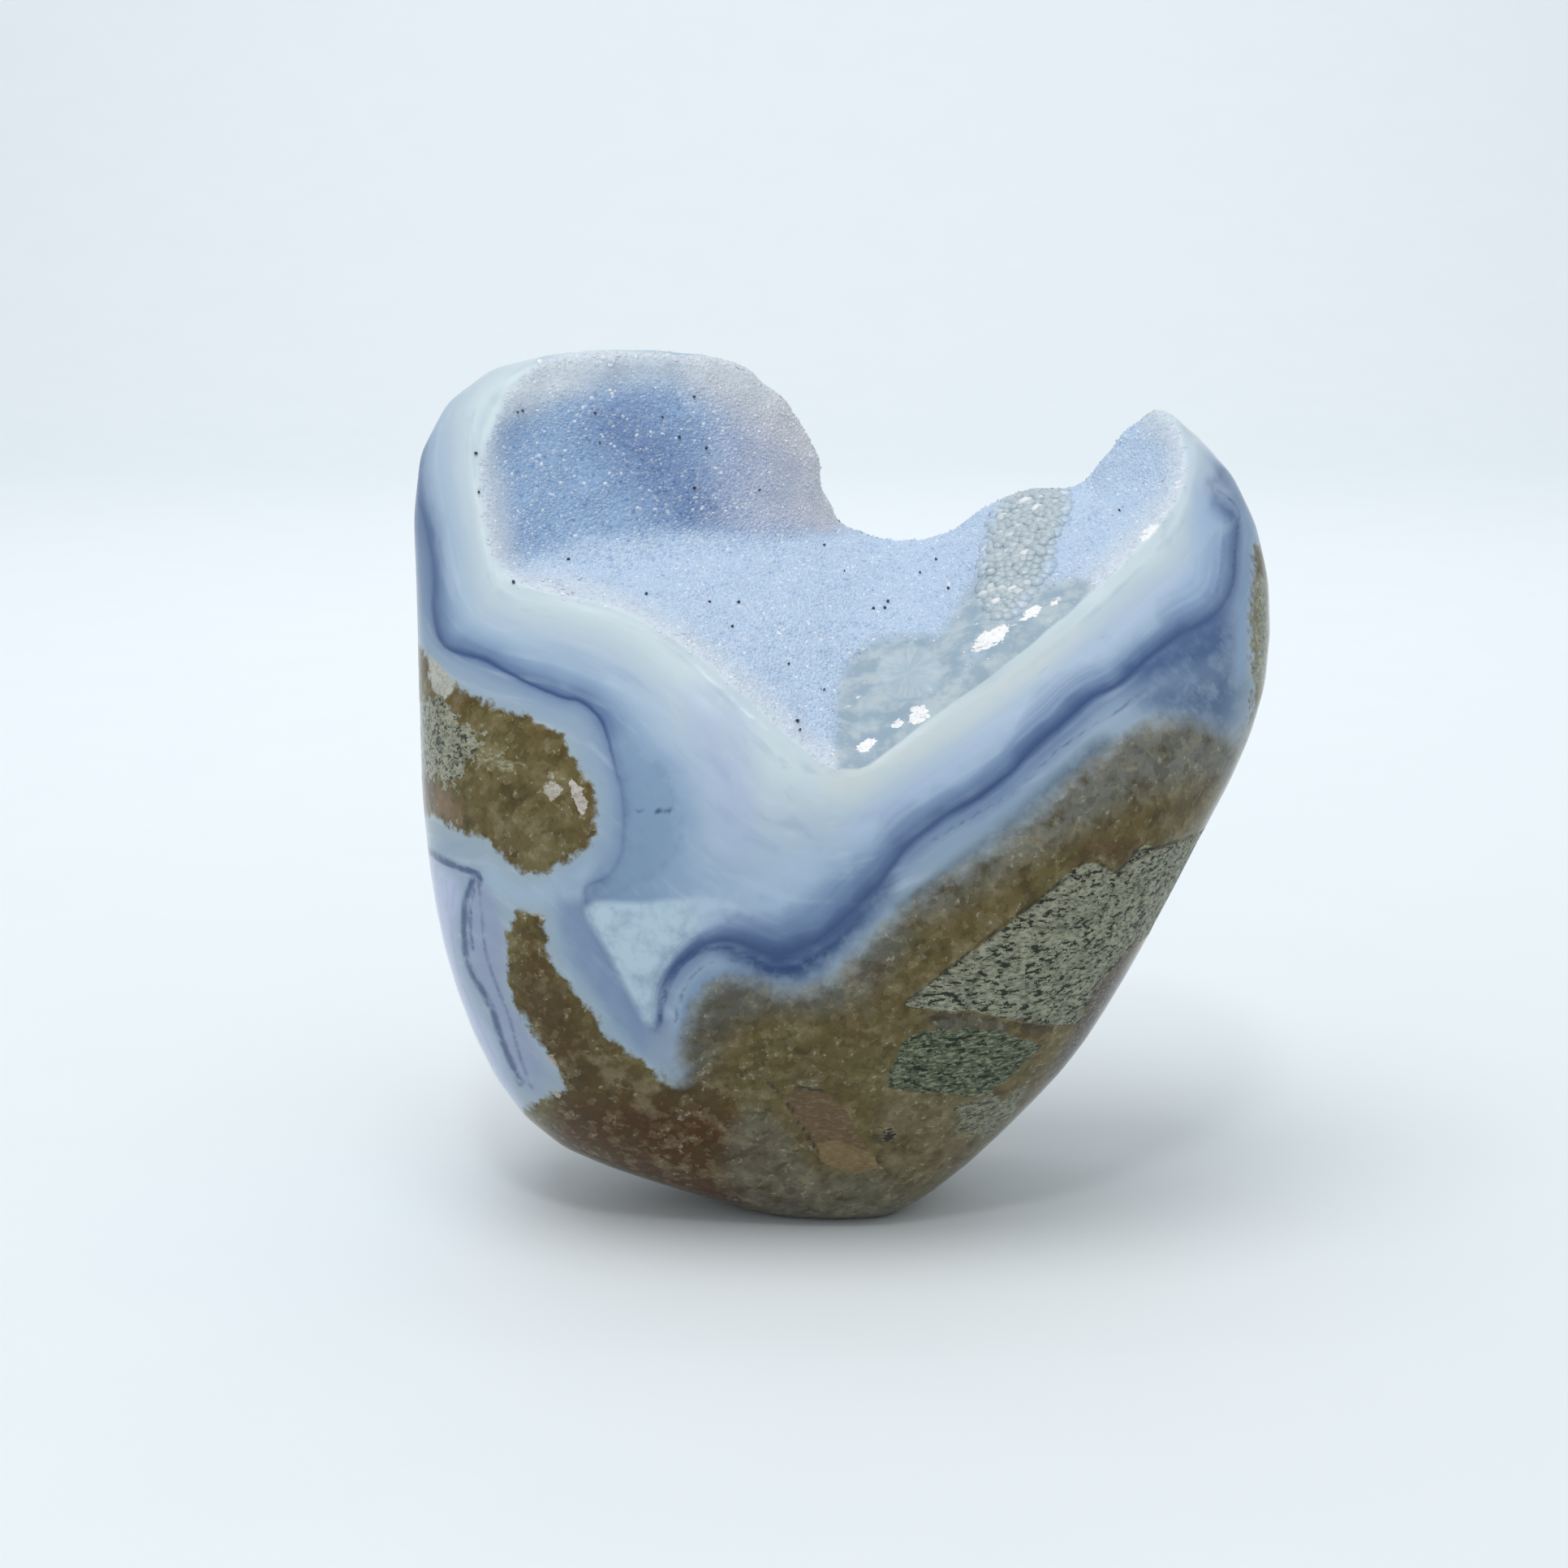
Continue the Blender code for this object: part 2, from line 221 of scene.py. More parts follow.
def smoothLine(points, closed=False, perSpan=4):
    spots = np.array(points, float)
    count = len(spots)
    if closed:
        padded = np.vstack((spots[-1], spots, spots[:2]))
        spans = count
    else:
        padded = np.vstack((2 * spots[0] - spots[1], spots, 2 * spots[-1] - spots[-2]))
        spans = count - 1
    steps = np.arange(perSpan)[:, None] / perSpan
    made = []
    for i in range(spans):
        before, start, end, after = padded[i:i + 4]
        bend = 2 * before - 5 * start + 4 * end - after
        twist = -before + 3 * start - 3 * end + after
        made.append(start + 0.5 * (steps * (end - before) + steps ** 2 * bend + steps ** 3 * twist))
    made.append(spots[:1] if closed else spots[-1:])
    return np.vstack(made)


def distanceTo(pixels, line):
    return nearestOn(pixels, line)[0]


# distance to a line, and the third number of the line at that place
def nearestOn(pixels, line):
    best = np.full(len(pixels), 1e9)
    strength = np.zeros(len(pixels))
    for start, end in zip(line[:-1], line[1:]):
        run = end[:2] - start[:2]
        share = np.clip(((pixels - start[:2]) @ run) / max(run @ run, 1e-9), 0.0, 1.0)
        gap = pixels - start[:2] - share[:, None] * run
        away = gap[:, 0] ** 2 + gap[:, 1] ** 2
        if line.shape[1] > 2:
            closer = away < best
            strength[closer] = (start[2] + share * (end[2] - start[2]))[closer]
        best = np.minimum(best, away)
    return np.sqrt(best), strength


def inside(pixels, line):
    found = np.zeros(len(pixels), bool)
    x, y = pixels.T
    for (x0, y0), (x1, y1) in zip(line[:-1], line[1:]):
        if y0 == y1:
            continue
        crossing = (y0 > y) != (y1 > y)
        found ^= crossing & (x < (x1 - x0) * (y - y0) / (y1 - y0) + x0)
    return found


# which pixels lie within a reach in mm of the box round a line
def closeBy(pixels, line, reach):
    low = line[:, :2].min(axis=0) - reach / pixelSize
    high = line[:, :2].max(axis=0) + reach / pixelSize
    return np.all((pixels > low) & (pixels < high), axis=1)


# mm from an outline, under zero inside it, and no more than its reach
def signedSpan(pixels, points, perSpan=4, reach=40.0):
    line = smoothLine(points, closed=True, perSpan=perSpan)
    span = np.full(len(pixels), reach)
    close = closeBy(pixels, line, reach)
    away = distanceTo(pixels[close], line) * pixelSize
    span[close] = np.minimum(np.where(inside(pixels[close], line), -away, away), reach)
    return span


def lineSpan(pixels, points, perSpan=4, reach=40.0):
    line = smoothLine(points, perSpan=perSpan)
    span = np.full(len(pixels), reach)
    close = closeBy(pixels, line, reach)
    span[close] = np.minimum(distanceTo(pixels[close], line) * pixelSize, reach)
    return span


def smoothStep(value, low, high):
    share = np.clip((value - low) / (high - low), 0.0, 1.0)
    return share * share * (3 - 2 * share)


def cloud(points, scale, seed):
    offset = Vector((seed * 17.3, seed * 5.1, seed * 9.7))
    return np.array([noise.noise(Vector(p) * (scale / mm) + offset) for p in points])


# Stone skin: the polished stone and the hollow's wall in one fine mesh

skinPlan = {
    "cell": 0.47,  # mm, size of a remesh cell
    "quickCell": 0.799,
    "seamPush": 0.42,  # mm, how far the crust's back is pushed to close its gap
    "seamReach": 0.6,
    "rounds": 14,  # smoothing passes over all of it
    "calmRounds": 90,  # passes that even out the normals of the polish
    "calmFrom": 1.2,  # mm from the hollow where the polish starts to be calm
    "calmTo": 4.0,
}


def neighbourTools(mesh):
    pairs = np.empty(len(mesh.edges) * 2, np.int64)
    mesh.edges.foreach_get("vertices", pairs)
    pairs = pairs.reshape(-1, 2)
    count = len(mesh.vertices)
    share = 1.0 / np.maximum(np.bincount(pairs.ravel(), minlength=count), 1)

    def mean(values):
        made = np.empty_like(values)
        for axis in range(values.shape[1]):
            column = values[:, axis]
            made[:, axis] = np.bincount(pairs[:, 0], column[pairs[:, 1]], count)
            made[:, axis] += np.bincount(pairs[:, 1], column[pairs[:, 0]], count)
        return made * share[:, None]

    return mean


def pointsOf(mesh, kind="co"):
    flat = np.empty(len(mesh.vertices) * 3)
    mesh.vertices.foreach_get(kind, flat)
    return flat.reshape(-1, 3)


def normalsOf(mesh):
    return pointsOf(mesh, "normal")


def treeOf(obj):
    mesh = obj.data
    return BVHTree.FromPolygons([v.co for v in mesh.vertices], [p.vertices for p in mesh.polygons])


def spansTo(tree, points):
    return np.array([tree.find_nearest(Vector(p))[3] for p in points]) / mm


def facesOf(mesh):
    return [tuple(p.vertices) for p in mesh.polygons]


def roughSolid(stoneTree):
    stonePoints = pointsOf(stoneNode.data)
    crustPoints = pointsOf(crustNode.data)
    crustNormals = normalsOf(crustNode.data)
    near = spansTo(stoneTree, crustPoints) < skinPlan["seamReach"]
    crustPoints[near] += crustNormals[near] * skinPlan["seamPush"] * mm
    shift = len(stonePoints)
    faces = facesOf(stoneNode.data) + [tuple(i + shift for i in f) for f in facesOf(crustNode.data)]
    mesh = bpy.data.meshes.new("agateSkin")
    mesh.from_pydata(np.vstack((stonePoints, crustPoints)).tolist(), [], faces)
    return mesh


def applied(obj):
    bpy.context.view_layer.update()
    graph = bpy.context.evaluated_depsgraph_get()
    mesh = bpy.data.meshes.new_from_object(obj.evaluated_get(graph))
    obj.modifiers.clear()
    obj.data = mesh
    return mesh


def buildSkin(stoneTree, crustTree):
    skin = bpy.data.objects.new("agateSkin", roughSolid(stoneTree))
    bpy.context.scene.collection.objects.link(skin)
    remesh = skin.modifiers.new("fineCells", "REMESH")
    remesh.mode = "VOXEL"
    remesh.voxel_size = skinPlan["cell"] * mm
    remesh.use_smooth_shade = True
    mesh = applied(skin)
    mean = neighbourTools(mesh)
    points = pointsOf(mesh)
    for _ in range(skinPlan["rounds"]):
        points += 0.5 * (mean(points) - points)
    points = np.clip(points, np.array(cadBounds[0]), np.array(cadBounds[1]))
    mesh.vertices.foreach_set("co", points.ravel())
    mesh.update()
    print("stone skin:", len(mesh.vertices), "points")
    return skin, mean


# Fields: numbers kept on each point of the stone, which its material reads

drift = {
    "from": 0.0,  # mm behind the middle plane where the markings start to wander
    "full": 22.0,
    "shift": (-170.0, 60.0),  # pixels at the back
    "lineDepth": 8.0,  # mm of band between the hollow and the dark line at the back
    "rockDepth": 13.5,
    "wander": 2.6,
    "backFrom": 2.0,  # mm behind the middle plane where the back's markings take over
    "backTo": 12.0,
    "backWander": (2.2, 5.0),  # how far that place itself wanders, broad and fine
    "backInk": 0.8,
}

patchReach = 4.0  # mm round a patch over which its distance is worked out
lipReach = 8.0  # the same round the lines of the hollow


# mm of soft edge, colour, strength and outline in pixels
def softPatch(soft, colour, strength, points):
    return {"soft": soft, "colour": colour, "strength": strength, "points": points}


# soft patches of colour in the bands
hazes = {
    "lilacHigh": softPatch(1.6, (166, 180, 212), 0.5, [
        (845, 850), (905, 862), (930, 930), (925, 1040), (890, 1050), (870, 960),
    ]),
    "noduleSoft": softPatch(1.6, (142, 166, 192), 0.7, [
        (745, 905), (800, 915), (850, 950), (862, 1005), (850, 1065), (800, 1106), (735, 1112),
        (752, 1070), (768, 1000), (758, 945),
    ]),
    "noduleHaze": softPatch(1.4, (126, 153, 180), 0.7, [
        (768, 930), (800, 930), (830, 962), (838, 1010), (826, 1055), (790, 1090), (752, 1098),
        (772, 1035), (770, 975),
    ]),
    "leftOfWedge": softPatch(0.8, (120, 142, 172), 0.75, [
        (690, 1108), (722, 1120), (745, 1168), (770, 1218), (799, 1264), (800, 1300), (770, 1275),
        (738, 1232), (710, 1190), (692, 1150),
    ]),
    "wedge": softPatch(0.45, (181, 203, 216), 1.0, [
        (722, 1116), (790, 1112), (870, 1106), (910, 1120), (860, 1152), (826, 1190), (804, 1266),
        (772, 1218), (747, 1170),
    ]),
    "wedgeRight": softPatch(1.2, (172, 192, 215), 0.7, [
        (850, 1098), (920, 1082), (1000, 1050), (1015, 1078), (965, 1125), (905, 1140), (872, 1148),
    ]),
    "belowWedge": softPatch(1.0, (140, 156, 176), 0.7, [
        (800, 1262), (824, 1262), (846, 1290), (830, 1325), (800, 1300),
    ]),
    "haloLow": softPatch(1.0, (166, 186, 204), 0.75, [
        (600, 1062), (650, 1088), (700, 1078), (728, 1062), (722, 1105), (690, 1108), (655, 1120),
        (620, 1110), (598, 1085),
    ]),
    "hornLight": softPatch(1.2, (160, 184, 212), 0.7, [
        (1468, 600), (1500, 618), (1514, 670), (1508, 740), (1470, 760), (1440, 745), (1470, 690),
    ]),
    "deepArm": softPatch(1.6, (66, 92, 132), 0.9, [
        (1385, 825), (1420, 795), (1460, 772), (1500, 757), (1520, 765), (1522, 800), (1490, 822),
        (1450, 830), (1410, 842),
    ]),
    "deepArmLow": softPatch(2.0, (74, 98, 132), 0.85, [
        (1400, 860), (1450, 835), (1518, 815), (1528, 860), (1505, 900), (1450, 885),
    ]),
    "deepCurl": softPatch(1.6, (36, 66, 108), 1.0, [
        (890, 1172), (925, 1168), (950, 1166), (1000, 1160), (1050, 1120), (1085, 1085), (1095, 1100),
        (1050, 1160), (1000, 1205), (955, 1212), (930, 1202),
    ]),
    "curlMiddle": softPatch(0.5, (118, 144, 176), 0.7, [
        (838, 1250), (850, 1215), (878, 1192), (915, 1190), (925, 1205), (885, 1208), (856, 1240),
        (842, 1285),
    ]),
    "armLow": softPatch(1.2, (80, 98, 116), 0.9, [
        (1105, 1115), (1170, 1065), (1240, 1010), (1300, 955), (1350, 912), (1365, 920), (1310, 965),
        (1240, 1025), (1170, 1075), (1120, 1112),
    ]),
    "lowerPale": softPatch(0.7, (184, 193, 222), 0.85, [
        (495, 1040), (545, 1070), (566, 1095), (560, 1150), (572, 1210), (600, 1265), (625, 1330),
        (640, 1380), (500, 1300),
    ]),
    "lowerDusk": softPatch(0.8, (146, 154, 184), 0.7, [
        (580, 1085), (604, 1100), (622, 1160), (622, 1220), (645, 1262), (668, 1300), (665, 1345),
        (640, 1335), (612, 1262), (585, 1205), (574, 1150),
    ]),
    "hornPale": softPatch(1.0, (184, 199, 216), 0.6, [
        (1440, 520), (1480, 560), (1515, 600), (1500, 610), (1470, 600), (1450, 560),
    ]),
    "hornSide": softPatch(0.6, (136, 163, 192), 0.7, [
        (1525, 625), (1548, 665), (1540, 760), (1534, 830), (1522, 840), (1524, 760), (1528, 690),
    ]),
    "rimWarm": softPatch(1.4, (204, 213, 212), 0.6, [
        (1010, 945), (1090, 925), (1190, 862), (1290, 790), (1330, 770), (1300, 815), (1200, 890),
        (1100, 955), (1040, 990),
    ]),
    "armBright": softPatch(1.6, (178, 195, 222), 0.55, [
        (1050, 1010), (1130, 960), (1230, 880), (1330, 800), (1430, 715), (1480, 690), (1440, 740),
        (1340, 830), (1240, 910), (1140, 985), (1060, 1040),
    ]),
}

# soft stains in the rock, given in the same way
stains = {
    "darkBrown": softPatch(1.8, (76, 54, 14), 0.9, [
        (660, 1150), (690, 1210), (740, 1290), (800, 1330), (900, 1330), (880, 1420), (760, 1400),
        (690, 1370), (650, 1270), (640, 1190),
    ]),
    "rustLow": softPatch(1.6, (72, 38, 4), 0.95, [
        (690, 1370), (760, 1365), (850, 1370), (950, 1400), (985, 1490), (850, 1480), (700, 1425),
    ]),
    "curlVeil": softPatch(1.6, (84, 88, 90), 0.75, [
        (836, 1330), (846, 1262), (862, 1232), (884, 1208), (915, 1200), (950, 1206), (985, 1216),
        (1035, 1196), (1090, 1146), (1120, 1160), (1050, 1240), (950, 1250), (900, 1270), (870, 1320),
    ]),
    "islandPale": softPatch(1.6, (112, 104, 74), 0.4, [
        (590, 880), (650, 895), (700, 950), (720, 1010), (660, 1060), (600, 1020), (570, 940),
    ]),
    "greyLow": softPatch(1.4, (106, 106, 94), 0.7, [
        (925, 1365), (975, 1400), (1010, 1440), (1090, 1440), (1120, 1470), (1080, 1510), (950, 1500),
        (890, 1440),
    ]),
    "paleLow": softPatch(1.2, (108, 98, 74), 0.7, [
        (1095, 1352), (1240, 1350), (1330, 1280), (1280, 1370), (1130, 1480), (1085, 1440),
    ]),
    "veilRight": softPatch(2.2, (112, 118, 118), 0.8, [
        (1090, 1150), (1130, 1103), (1206, 1058), (1320, 962), (1400, 900), (1455, 885), (1540, 905),
        (1530, 960), (1440, 965), (1360, 1005), (1260, 1060), (1180, 1110),
    ]),
    "creviceGrey": softPatch(0.25, (70, 74, 72), 0.8, [
        (1145, 1256), (1200, 1252), (1245, 1266), (1225, 1276), (1160, 1270),
    ]),
    "orangeCleft": softPatch(0.6, (78, 56, 28), 0.8, [
        (1325, 1072), (1345, 1055), (1385, 1070), (1405, 1045), (1400, 1035), (1340, 1040),
    ]),
    "islandRust": softPatch(0.8, (132, 106, 88), 0.6, [
        (505, 955), (545, 965), (575, 1010), (540, 1008), (505, 990),
    ]),
}


# specks and grain are shares of the dark marks; through marks what also shows at the back
def rockPiece(light, shade, edge, ragged, points, specks=0.95, grain=1.0, through=False):
    return {"light": light, "shade": shade, "edge": edge, "ragged": ragged, "points": points,
            "specks": specks, "grain": grain, "through": through}


# pieces of other rock: light and dark colour, mm of soft edge, raggedness and outline
rocks = {
    "whitePatch": rockPiece((186, 188, 182), (140, 138, 126), 0.15, 1.5, [
        (527, 806), (545, 808), (561, 826), (560, 850), (548, 862), (530, 850),
    ], specks=0.3),
    "paleRock": rockPiece((150, 150, 132), (52, 58, 50), 0.12, 6.0, [
        (500, 866), (530, 858), (556, 868), (566, 888), (590, 902), (600, 930), (578, 940), (560, 968),
        (535, 962), (500, 950),
    ]),
    "paleStreak": rockPiece((134, 128, 98), (84, 78, 50), 0.12, 4.0, [
        (572, 925), (600, 920), (622, 932), (645, 942), (630, 952), (600, 946),
    ], specks=0.4),
    "paleChip": rockPiece((186, 180, 170), (128, 120, 102), 0.08, 1.8, [
        (678, 952), (690, 972), (684, 992), (672, 978),
    ], specks=0.4),
    "paleChipLow": rockPiece((196, 188, 182), (128, 120, 108), 0.08, 1.8, [
        (702, 958), (716, 972), (724, 992), (716, 1002), (704, 985),
    ], specks=0.3),
    "foldChip": rockPiece((184, 170, 158), (120, 104, 84), 0.1, 2.6, [
        (668, 1298), (684, 1305), (694, 1338), (686, 1350), (674, 1325),
    ], specks=0.5),
    "saddleFlecks": rockPiece((176, 178, 170), (112, 106, 84), 0.1, 4.0, [
        (640, 1098), (662, 1095), (668, 1128), (650, 1132),
    ], specks=0.5),
    "greyClast": rockPiece((138, 140, 120), (24, 30, 20), 0.06, 0.5, [
        (1113, 1240), (1160, 1203), (1200, 1172), (1240, 1142), (1280, 1112), (1310, 1082),
        (1328, 1070), (1346, 1062), (1364, 1072), (1380, 1078), (1390, 1062), (1402, 1050),
        (1412, 1040), (1430, 1048), (1460, 1037), (1500, 1010), (1475, 1080), (1440, 1130),
        (1385, 1178), (1352, 1218), (1328, 1262), (1285, 1263), (1240, 1256), (1200, 1246),
        (1160, 1246),
    ], through=True),
    "greenClast": rockPiece((90, 99, 74), (16, 26, 18), 0.15, 1.6, [
        (1120, 1275), (1150, 1268), (1230, 1270), (1285, 1290), (1262, 1312), (1230, 1340),
        (1205, 1352), (1160, 1348), (1110, 1345), (1092, 1338), (1100, 1310),
    ], through=True),
    "lowClast": rockPiece((124, 124, 104), (60, 62, 46), 0.2, 3.0, [
        (1180, 1362), (1230, 1352), (1262, 1340), (1250, 1372), (1215, 1400), (1180, 1392),
    ]),
    "brownClast": rockPiece((106, 86, 60), (78, 62, 40), 0.06, 0.6, [
        (962, 1352), (984, 1343), (1020, 1349), (1042, 1367), (1056, 1396), (1073, 1419), (1011, 1414),
        (984, 1392),
    ], specks=0.3, grain=0.3),
    "yellowClast": rockPiece((126, 106, 72), (96, 78, 48), 0.06, 0.6, [
        (1006, 1410), (1030, 1404), (1076, 1422), (1084, 1438), (1050, 1446), (1012, 1432),
    ], specks=0.3, grain=0.3),
    "darkSpot": rockPiece((60, 50, 30), (36, 30, 20), 0.1, 0.8, [
        (1088, 1392), (1100, 1390), (1104, 1402), (1094, 1412), (1086, 1404),
    ]),
    "plumSliver": rockPiece((70, 54, 46), (46, 36, 32), 0.7, 3.0, [
        (1396, 1166), (1382, 1210), (1345, 1270), (1300, 1335), (1296, 1318), (1330, 1262),
        (1352, 1218),
    ]),
    "hornOlive": rockPiece((150, 154, 136), (84, 84, 62), 0.7, 4.0, [
        (1546, 712), (1566, 700), (1575, 780), (1566, 850), (1546, 845), (1542, 780),
    ], specks=0.5),
    "hornPit": rockPiece((52, 56, 66), (30, 34, 42), 0.08, 0.6, [
        (1530, 806), (1540, 808), (1541, 826), (1532, 828),
    ]),
    "hornPitLow": rockPiece((60, 58, 62), (36, 36, 42), 0.08, 0.6, [
        (1538, 838), (1545, 840), (1545, 856), (1539, 856),
    ]),
}


def seenPixels(points):
    behind = smoothStep(points[:, 1] / mm, drift["from"], drift["full"])
    pixels = pixelsOf(points)
    pixels += behind[:, None] * np.array(drift["shift"])
    return pixels


def keepNumbers(mesh, name, values):
    kept = mesh.attributes.new(name, "FLOAT", "POINT")
    kept.data.foreach_set("value", np.asarray(values, np.float32))


def markStone(mesh, points, stoneTree, crustTree):
    fields = {}
    crustSpan = spansTo(crustTree, points)
    fields["wallSpan"] = spansTo(stoneTree, points)
    pixels = seenPixels(points)
    wander = cloud(points, 0.09, 1) * drift["wander"]
    broad, fine = drift["backWander"]
    behind = points[:, 1] / mm + broad * wander + fine * cloud(points, 0.2, 6)
    back = smoothStep(behind, drift["backFrom"], drift["backTo"])
    inked = lines["leftLine"] + lines["rightLine"]
    zone = [spot[:2] for spot in inked] + [(1475, 380), (500, 380)]
    frontLine = signedSpan(pixels, zone)
    strength = nearestOn(pixels, smoothLine(inked))[1]
    backLine = crustSpan + wander - drift["lineDepth"]
    frontRock = np.minimum(signedSpan(pixels, beds["island"]), signedSpan(pixels, beds["matrix"]))
    backRock = drift["rockDepth"] - crustSpan - 1.6 * wander
    fields["rimSpan"] = (1 - back) * lineSpan(pixels, lines["rim"]) + back * crustSpan
    fields["darkSpan"] = (1 - back) * frontLine + back * backLine
    fields["rockSpan"] = (1 - back) * frontRock + back * backRock
    fields["front"] = 1 - back
    fields["inkShare"] = (1 - back) * strength + back * drift["backInk"]
    for name, plan in (*hazes.items(), *stains.items()):
        fields[name] = signedSpan(pixels, plan["points"], reach=patchReach)
    fields.update(hollowFields(pixelsOf(points)))
    for name, plan in rocks.items():
        fields[name] = signedSpan(pixels, plan["points"], perSpan=1, reach=patchReach)
    ink = np.zeros(len(points))
    for width, strength, course in veins.values():
        span = lineSpan(pixels, course, reach=patchReach)
        ink = np.maximum(ink, strength * np.clip(1.5 - span / width, 0.0, 1.5))
    fields["vein"] = ink * (1 - back)
    gap = np.zeros(len(points))
    for width, course in cracks.values():
        span = lineSpan(pixels, course, perSpan=2, reach=patchReach)
        gap = np.maximum(gap, np.clip(1.5 - span / width, 0.0, 1.5))
    fields["crack"] = gap
    fields["rightSide"] = smoothStep(pixels[:, 0], 780.0, 1000.0)
    fromDisc = pixels - discMiddle
    turn = np.arctan2(fromDisc[:, 1], fromDisc[:, 0])
    fields["discCos"] = np.cos(turn)
    fields["discSin"] = np.sin(turn)
    fields["discSpan"] = signedSpan(pixels, polishedDisc)
    for name, values in fields.items():
        keepNumbers(mesh, name, values)
    print("fields:", len(fields))
    return fields


# Real relief: cracks sink, worn rock lies a little under the polish

# depths in mm; the hollow is left as it is from openFrom to openTo over the stone's wall
relief = {"crack": 0.22, "worn": 0.05, "pit": 0.07, "openFrom": 0.9, "openTo": 1.1}


def carveSkin(mesh, points, mean, fields):
    normals = normalsOf(mesh)
    openness = smoothStep(fields["wallSpan"], relief["openFrom"], relief["openTo"])
    worn = np.zeros(len(points))
    for name in ("paleRock", "greyClast", "greenClast"):
        worn = np.maximum(worn, smoothStep(-fields[name], 0.0, 0.4))
    rock = smoothStep(-fields["rockSpan"], 0.0, 0.5)
    pits = np.clip(cloud(points, 0.9, 4) - 0.25, 0.0, 1.0) * rock
    cracked = np.clip(fields["crack"], 0.0, 1.0)
    down = relief["crack"] * cracked + relief["worn"] * worn + relief["pit"] * pits
    points = points - normals * (down * (1 - openness) * mm)[:, None]
    mesh.vertices.foreach_set("co", points.ravel())
    mesh.update()
    normals = normalsOf(mesh)
    calm = normals.copy()
    for _ in range(skinPlan["calmRounds"]):
        calm += 0.5 * (mean(calm) - calm)
    calm /= np.linalg.norm(calm, axis=1)[:, None]
    share = smoothStep(fields["rimSpan"], skinPlan["calmFrom"], skinPlan["calmTo"])
    share = share * (1 - openness) * (1 - 0.6 * worn) * (1 - cracked)
    blended = normals * (1 - share)[:, None] + calm * share[:, None]
    blended /= np.linalg.norm(blended, axis=1)[:, None]
    mesh.normals_split_custom_set_from_vertices(blended.tolist())
    return points


# Node helpers

# noises: how many to a mm, detail and roughness
noises = {
    "slow": (0.16, 2.0, 0.5),
    "cloudy": (0.6, 3.0, 0.64),
    "teeth": (0.9, 3.0, 0.62),
    "streaks": (0.9, 3.0, 0.5),
    "sheets": (1.0, 2.0, 0.5),
    "quartz": (0.4, 3.0, 0.55),
    "quartzGrains": (2.2, 2.0, 0.7),
    "rockSpecks": (1.5, 3.0, 0.75),
    "rockGrains": (2.6, 2.0, 0.6),
    "disc": (1.0, 2.0, 0.6),
    "crease": (0.12, 1.0, 0.5),
    "milk": (0.45, 3.0, 0.6),
    "pearl": (1.3, 3.0, 0.7),
    "frost": (5.0, 2.0, 0.5),
    "ore": (4.0, 2.0, 0.5),
    "paper": (0.05, 3.0, 0.5),
}


def paint(colour):
    linear = []
    for part in colour:
        share = part / 255
        linear.append(share / 12.92 if share <= 0.04045 else ((share + 0.055) / 1.055) ** 2.4)
    return (*linear, 1.0)


def node(tree, kind, inputs=None, **settings):
    made = tree.nodes.new(kind)
    for name, value in settings.items():
        setattr(made, name, value)
    for socket, value in (inputs or {}).items():
        if isinstance(value, bpy.types.NodeSocket):
            tree.links.new(value, made.inputs[socket])
        else:
            made.inputs[socket].default_value = value
    return made


def calc(tree, operation, first, second=0.0, third=0.0, clamp=False):
    inputs = {0: first, 1: second, 2: third}
    return node(tree, "ShaderNodeMath", inputs, operation=operation, use_clamp=clamp).outputs[0]


def times(tree, first, second):
    return calc(tree, "MULTIPLY", first, second)


def fade(tree, value, low, high, start=0.0, end=1.0):
    inputs = {0: value, 1: low, 2: high, 3: start, 4: end}
    return node(tree, "ShaderNodeMapRange", inputs, interpolation_type="SMOOTHSTEP").outputs[0]


def layer(tree, factor, under, over, mode="MIX"):
    inputs = {0: factor, 6: under, 7: over}
    return node(tree, "ShaderNodeMix", inputs, data_type="RGBA", blend_type=mode).outputs[2]


def ramp(tree, value, stops):
    made = node(tree, "ShaderNodeValToRGB", {0: value})
    band = made.color_ramp
    while len(band.elements) < len(stops):
        band.elements.new(0.5)
    for element, (place, colour) in zip(band.elements, stops):
        element.position = place
        element.color = paint(colour)
    return made.outputs[0]


# a colour laid over another as a number goes from low to high
def tint(tree, colour, value, low, high, most, tone):
    return layer(tree, fade(tree, value, low, high, 0.0, most), colour, paint(tone))


def grain(tree, vector, kind):
    scale, detail, roughness = noises[kind]
    inputs = {"Vector": vector, "Scale": scale, "Detail": detail, "Roughness": roughness}
    return node(tree, "ShaderNodeTexNoise", inputs).outputs[0]


def join(tree, first, second, third=0.0):
    return node(tree, "ShaderNodeCombineXYZ", {0: first, 1: second, 2: third}).outputs[0]


def field(tree, name):
    return node(tree, "ShaderNodeAttribute", attribute_name=name).outputs["Fac"]


# object coordinates in mm
def ruler(tree):
    place = node(tree, "ShaderNodeTexCoord").outputs["Object"]
    return node(tree, "ShaderNodeVectorMath", {0: place, 3: 1 / mm}, operation="SCALE").outputs[0]


def stretched(tree, vector, turn, scale):
    inputs = {"Vector": vector, "Rotation": turn, "Scale": scale}
    return node(tree, "ShaderNodeMapping", inputs).outputs[0]


def newMaterial(name, sockets):
    material = bpy.data.materials.new(name)
    material.use_nodes = True
    tree = material.node_tree
    tree.nodes.clear()
    shader = node(tree, "ShaderNodeBsdfPrincipled", sockets)
    output = node(tree, "ShaderNodeOutputMaterial")
    tree.links.new(shader.outputs[0], output.inputs[0])
    return material, tree, shader


# Polished agate

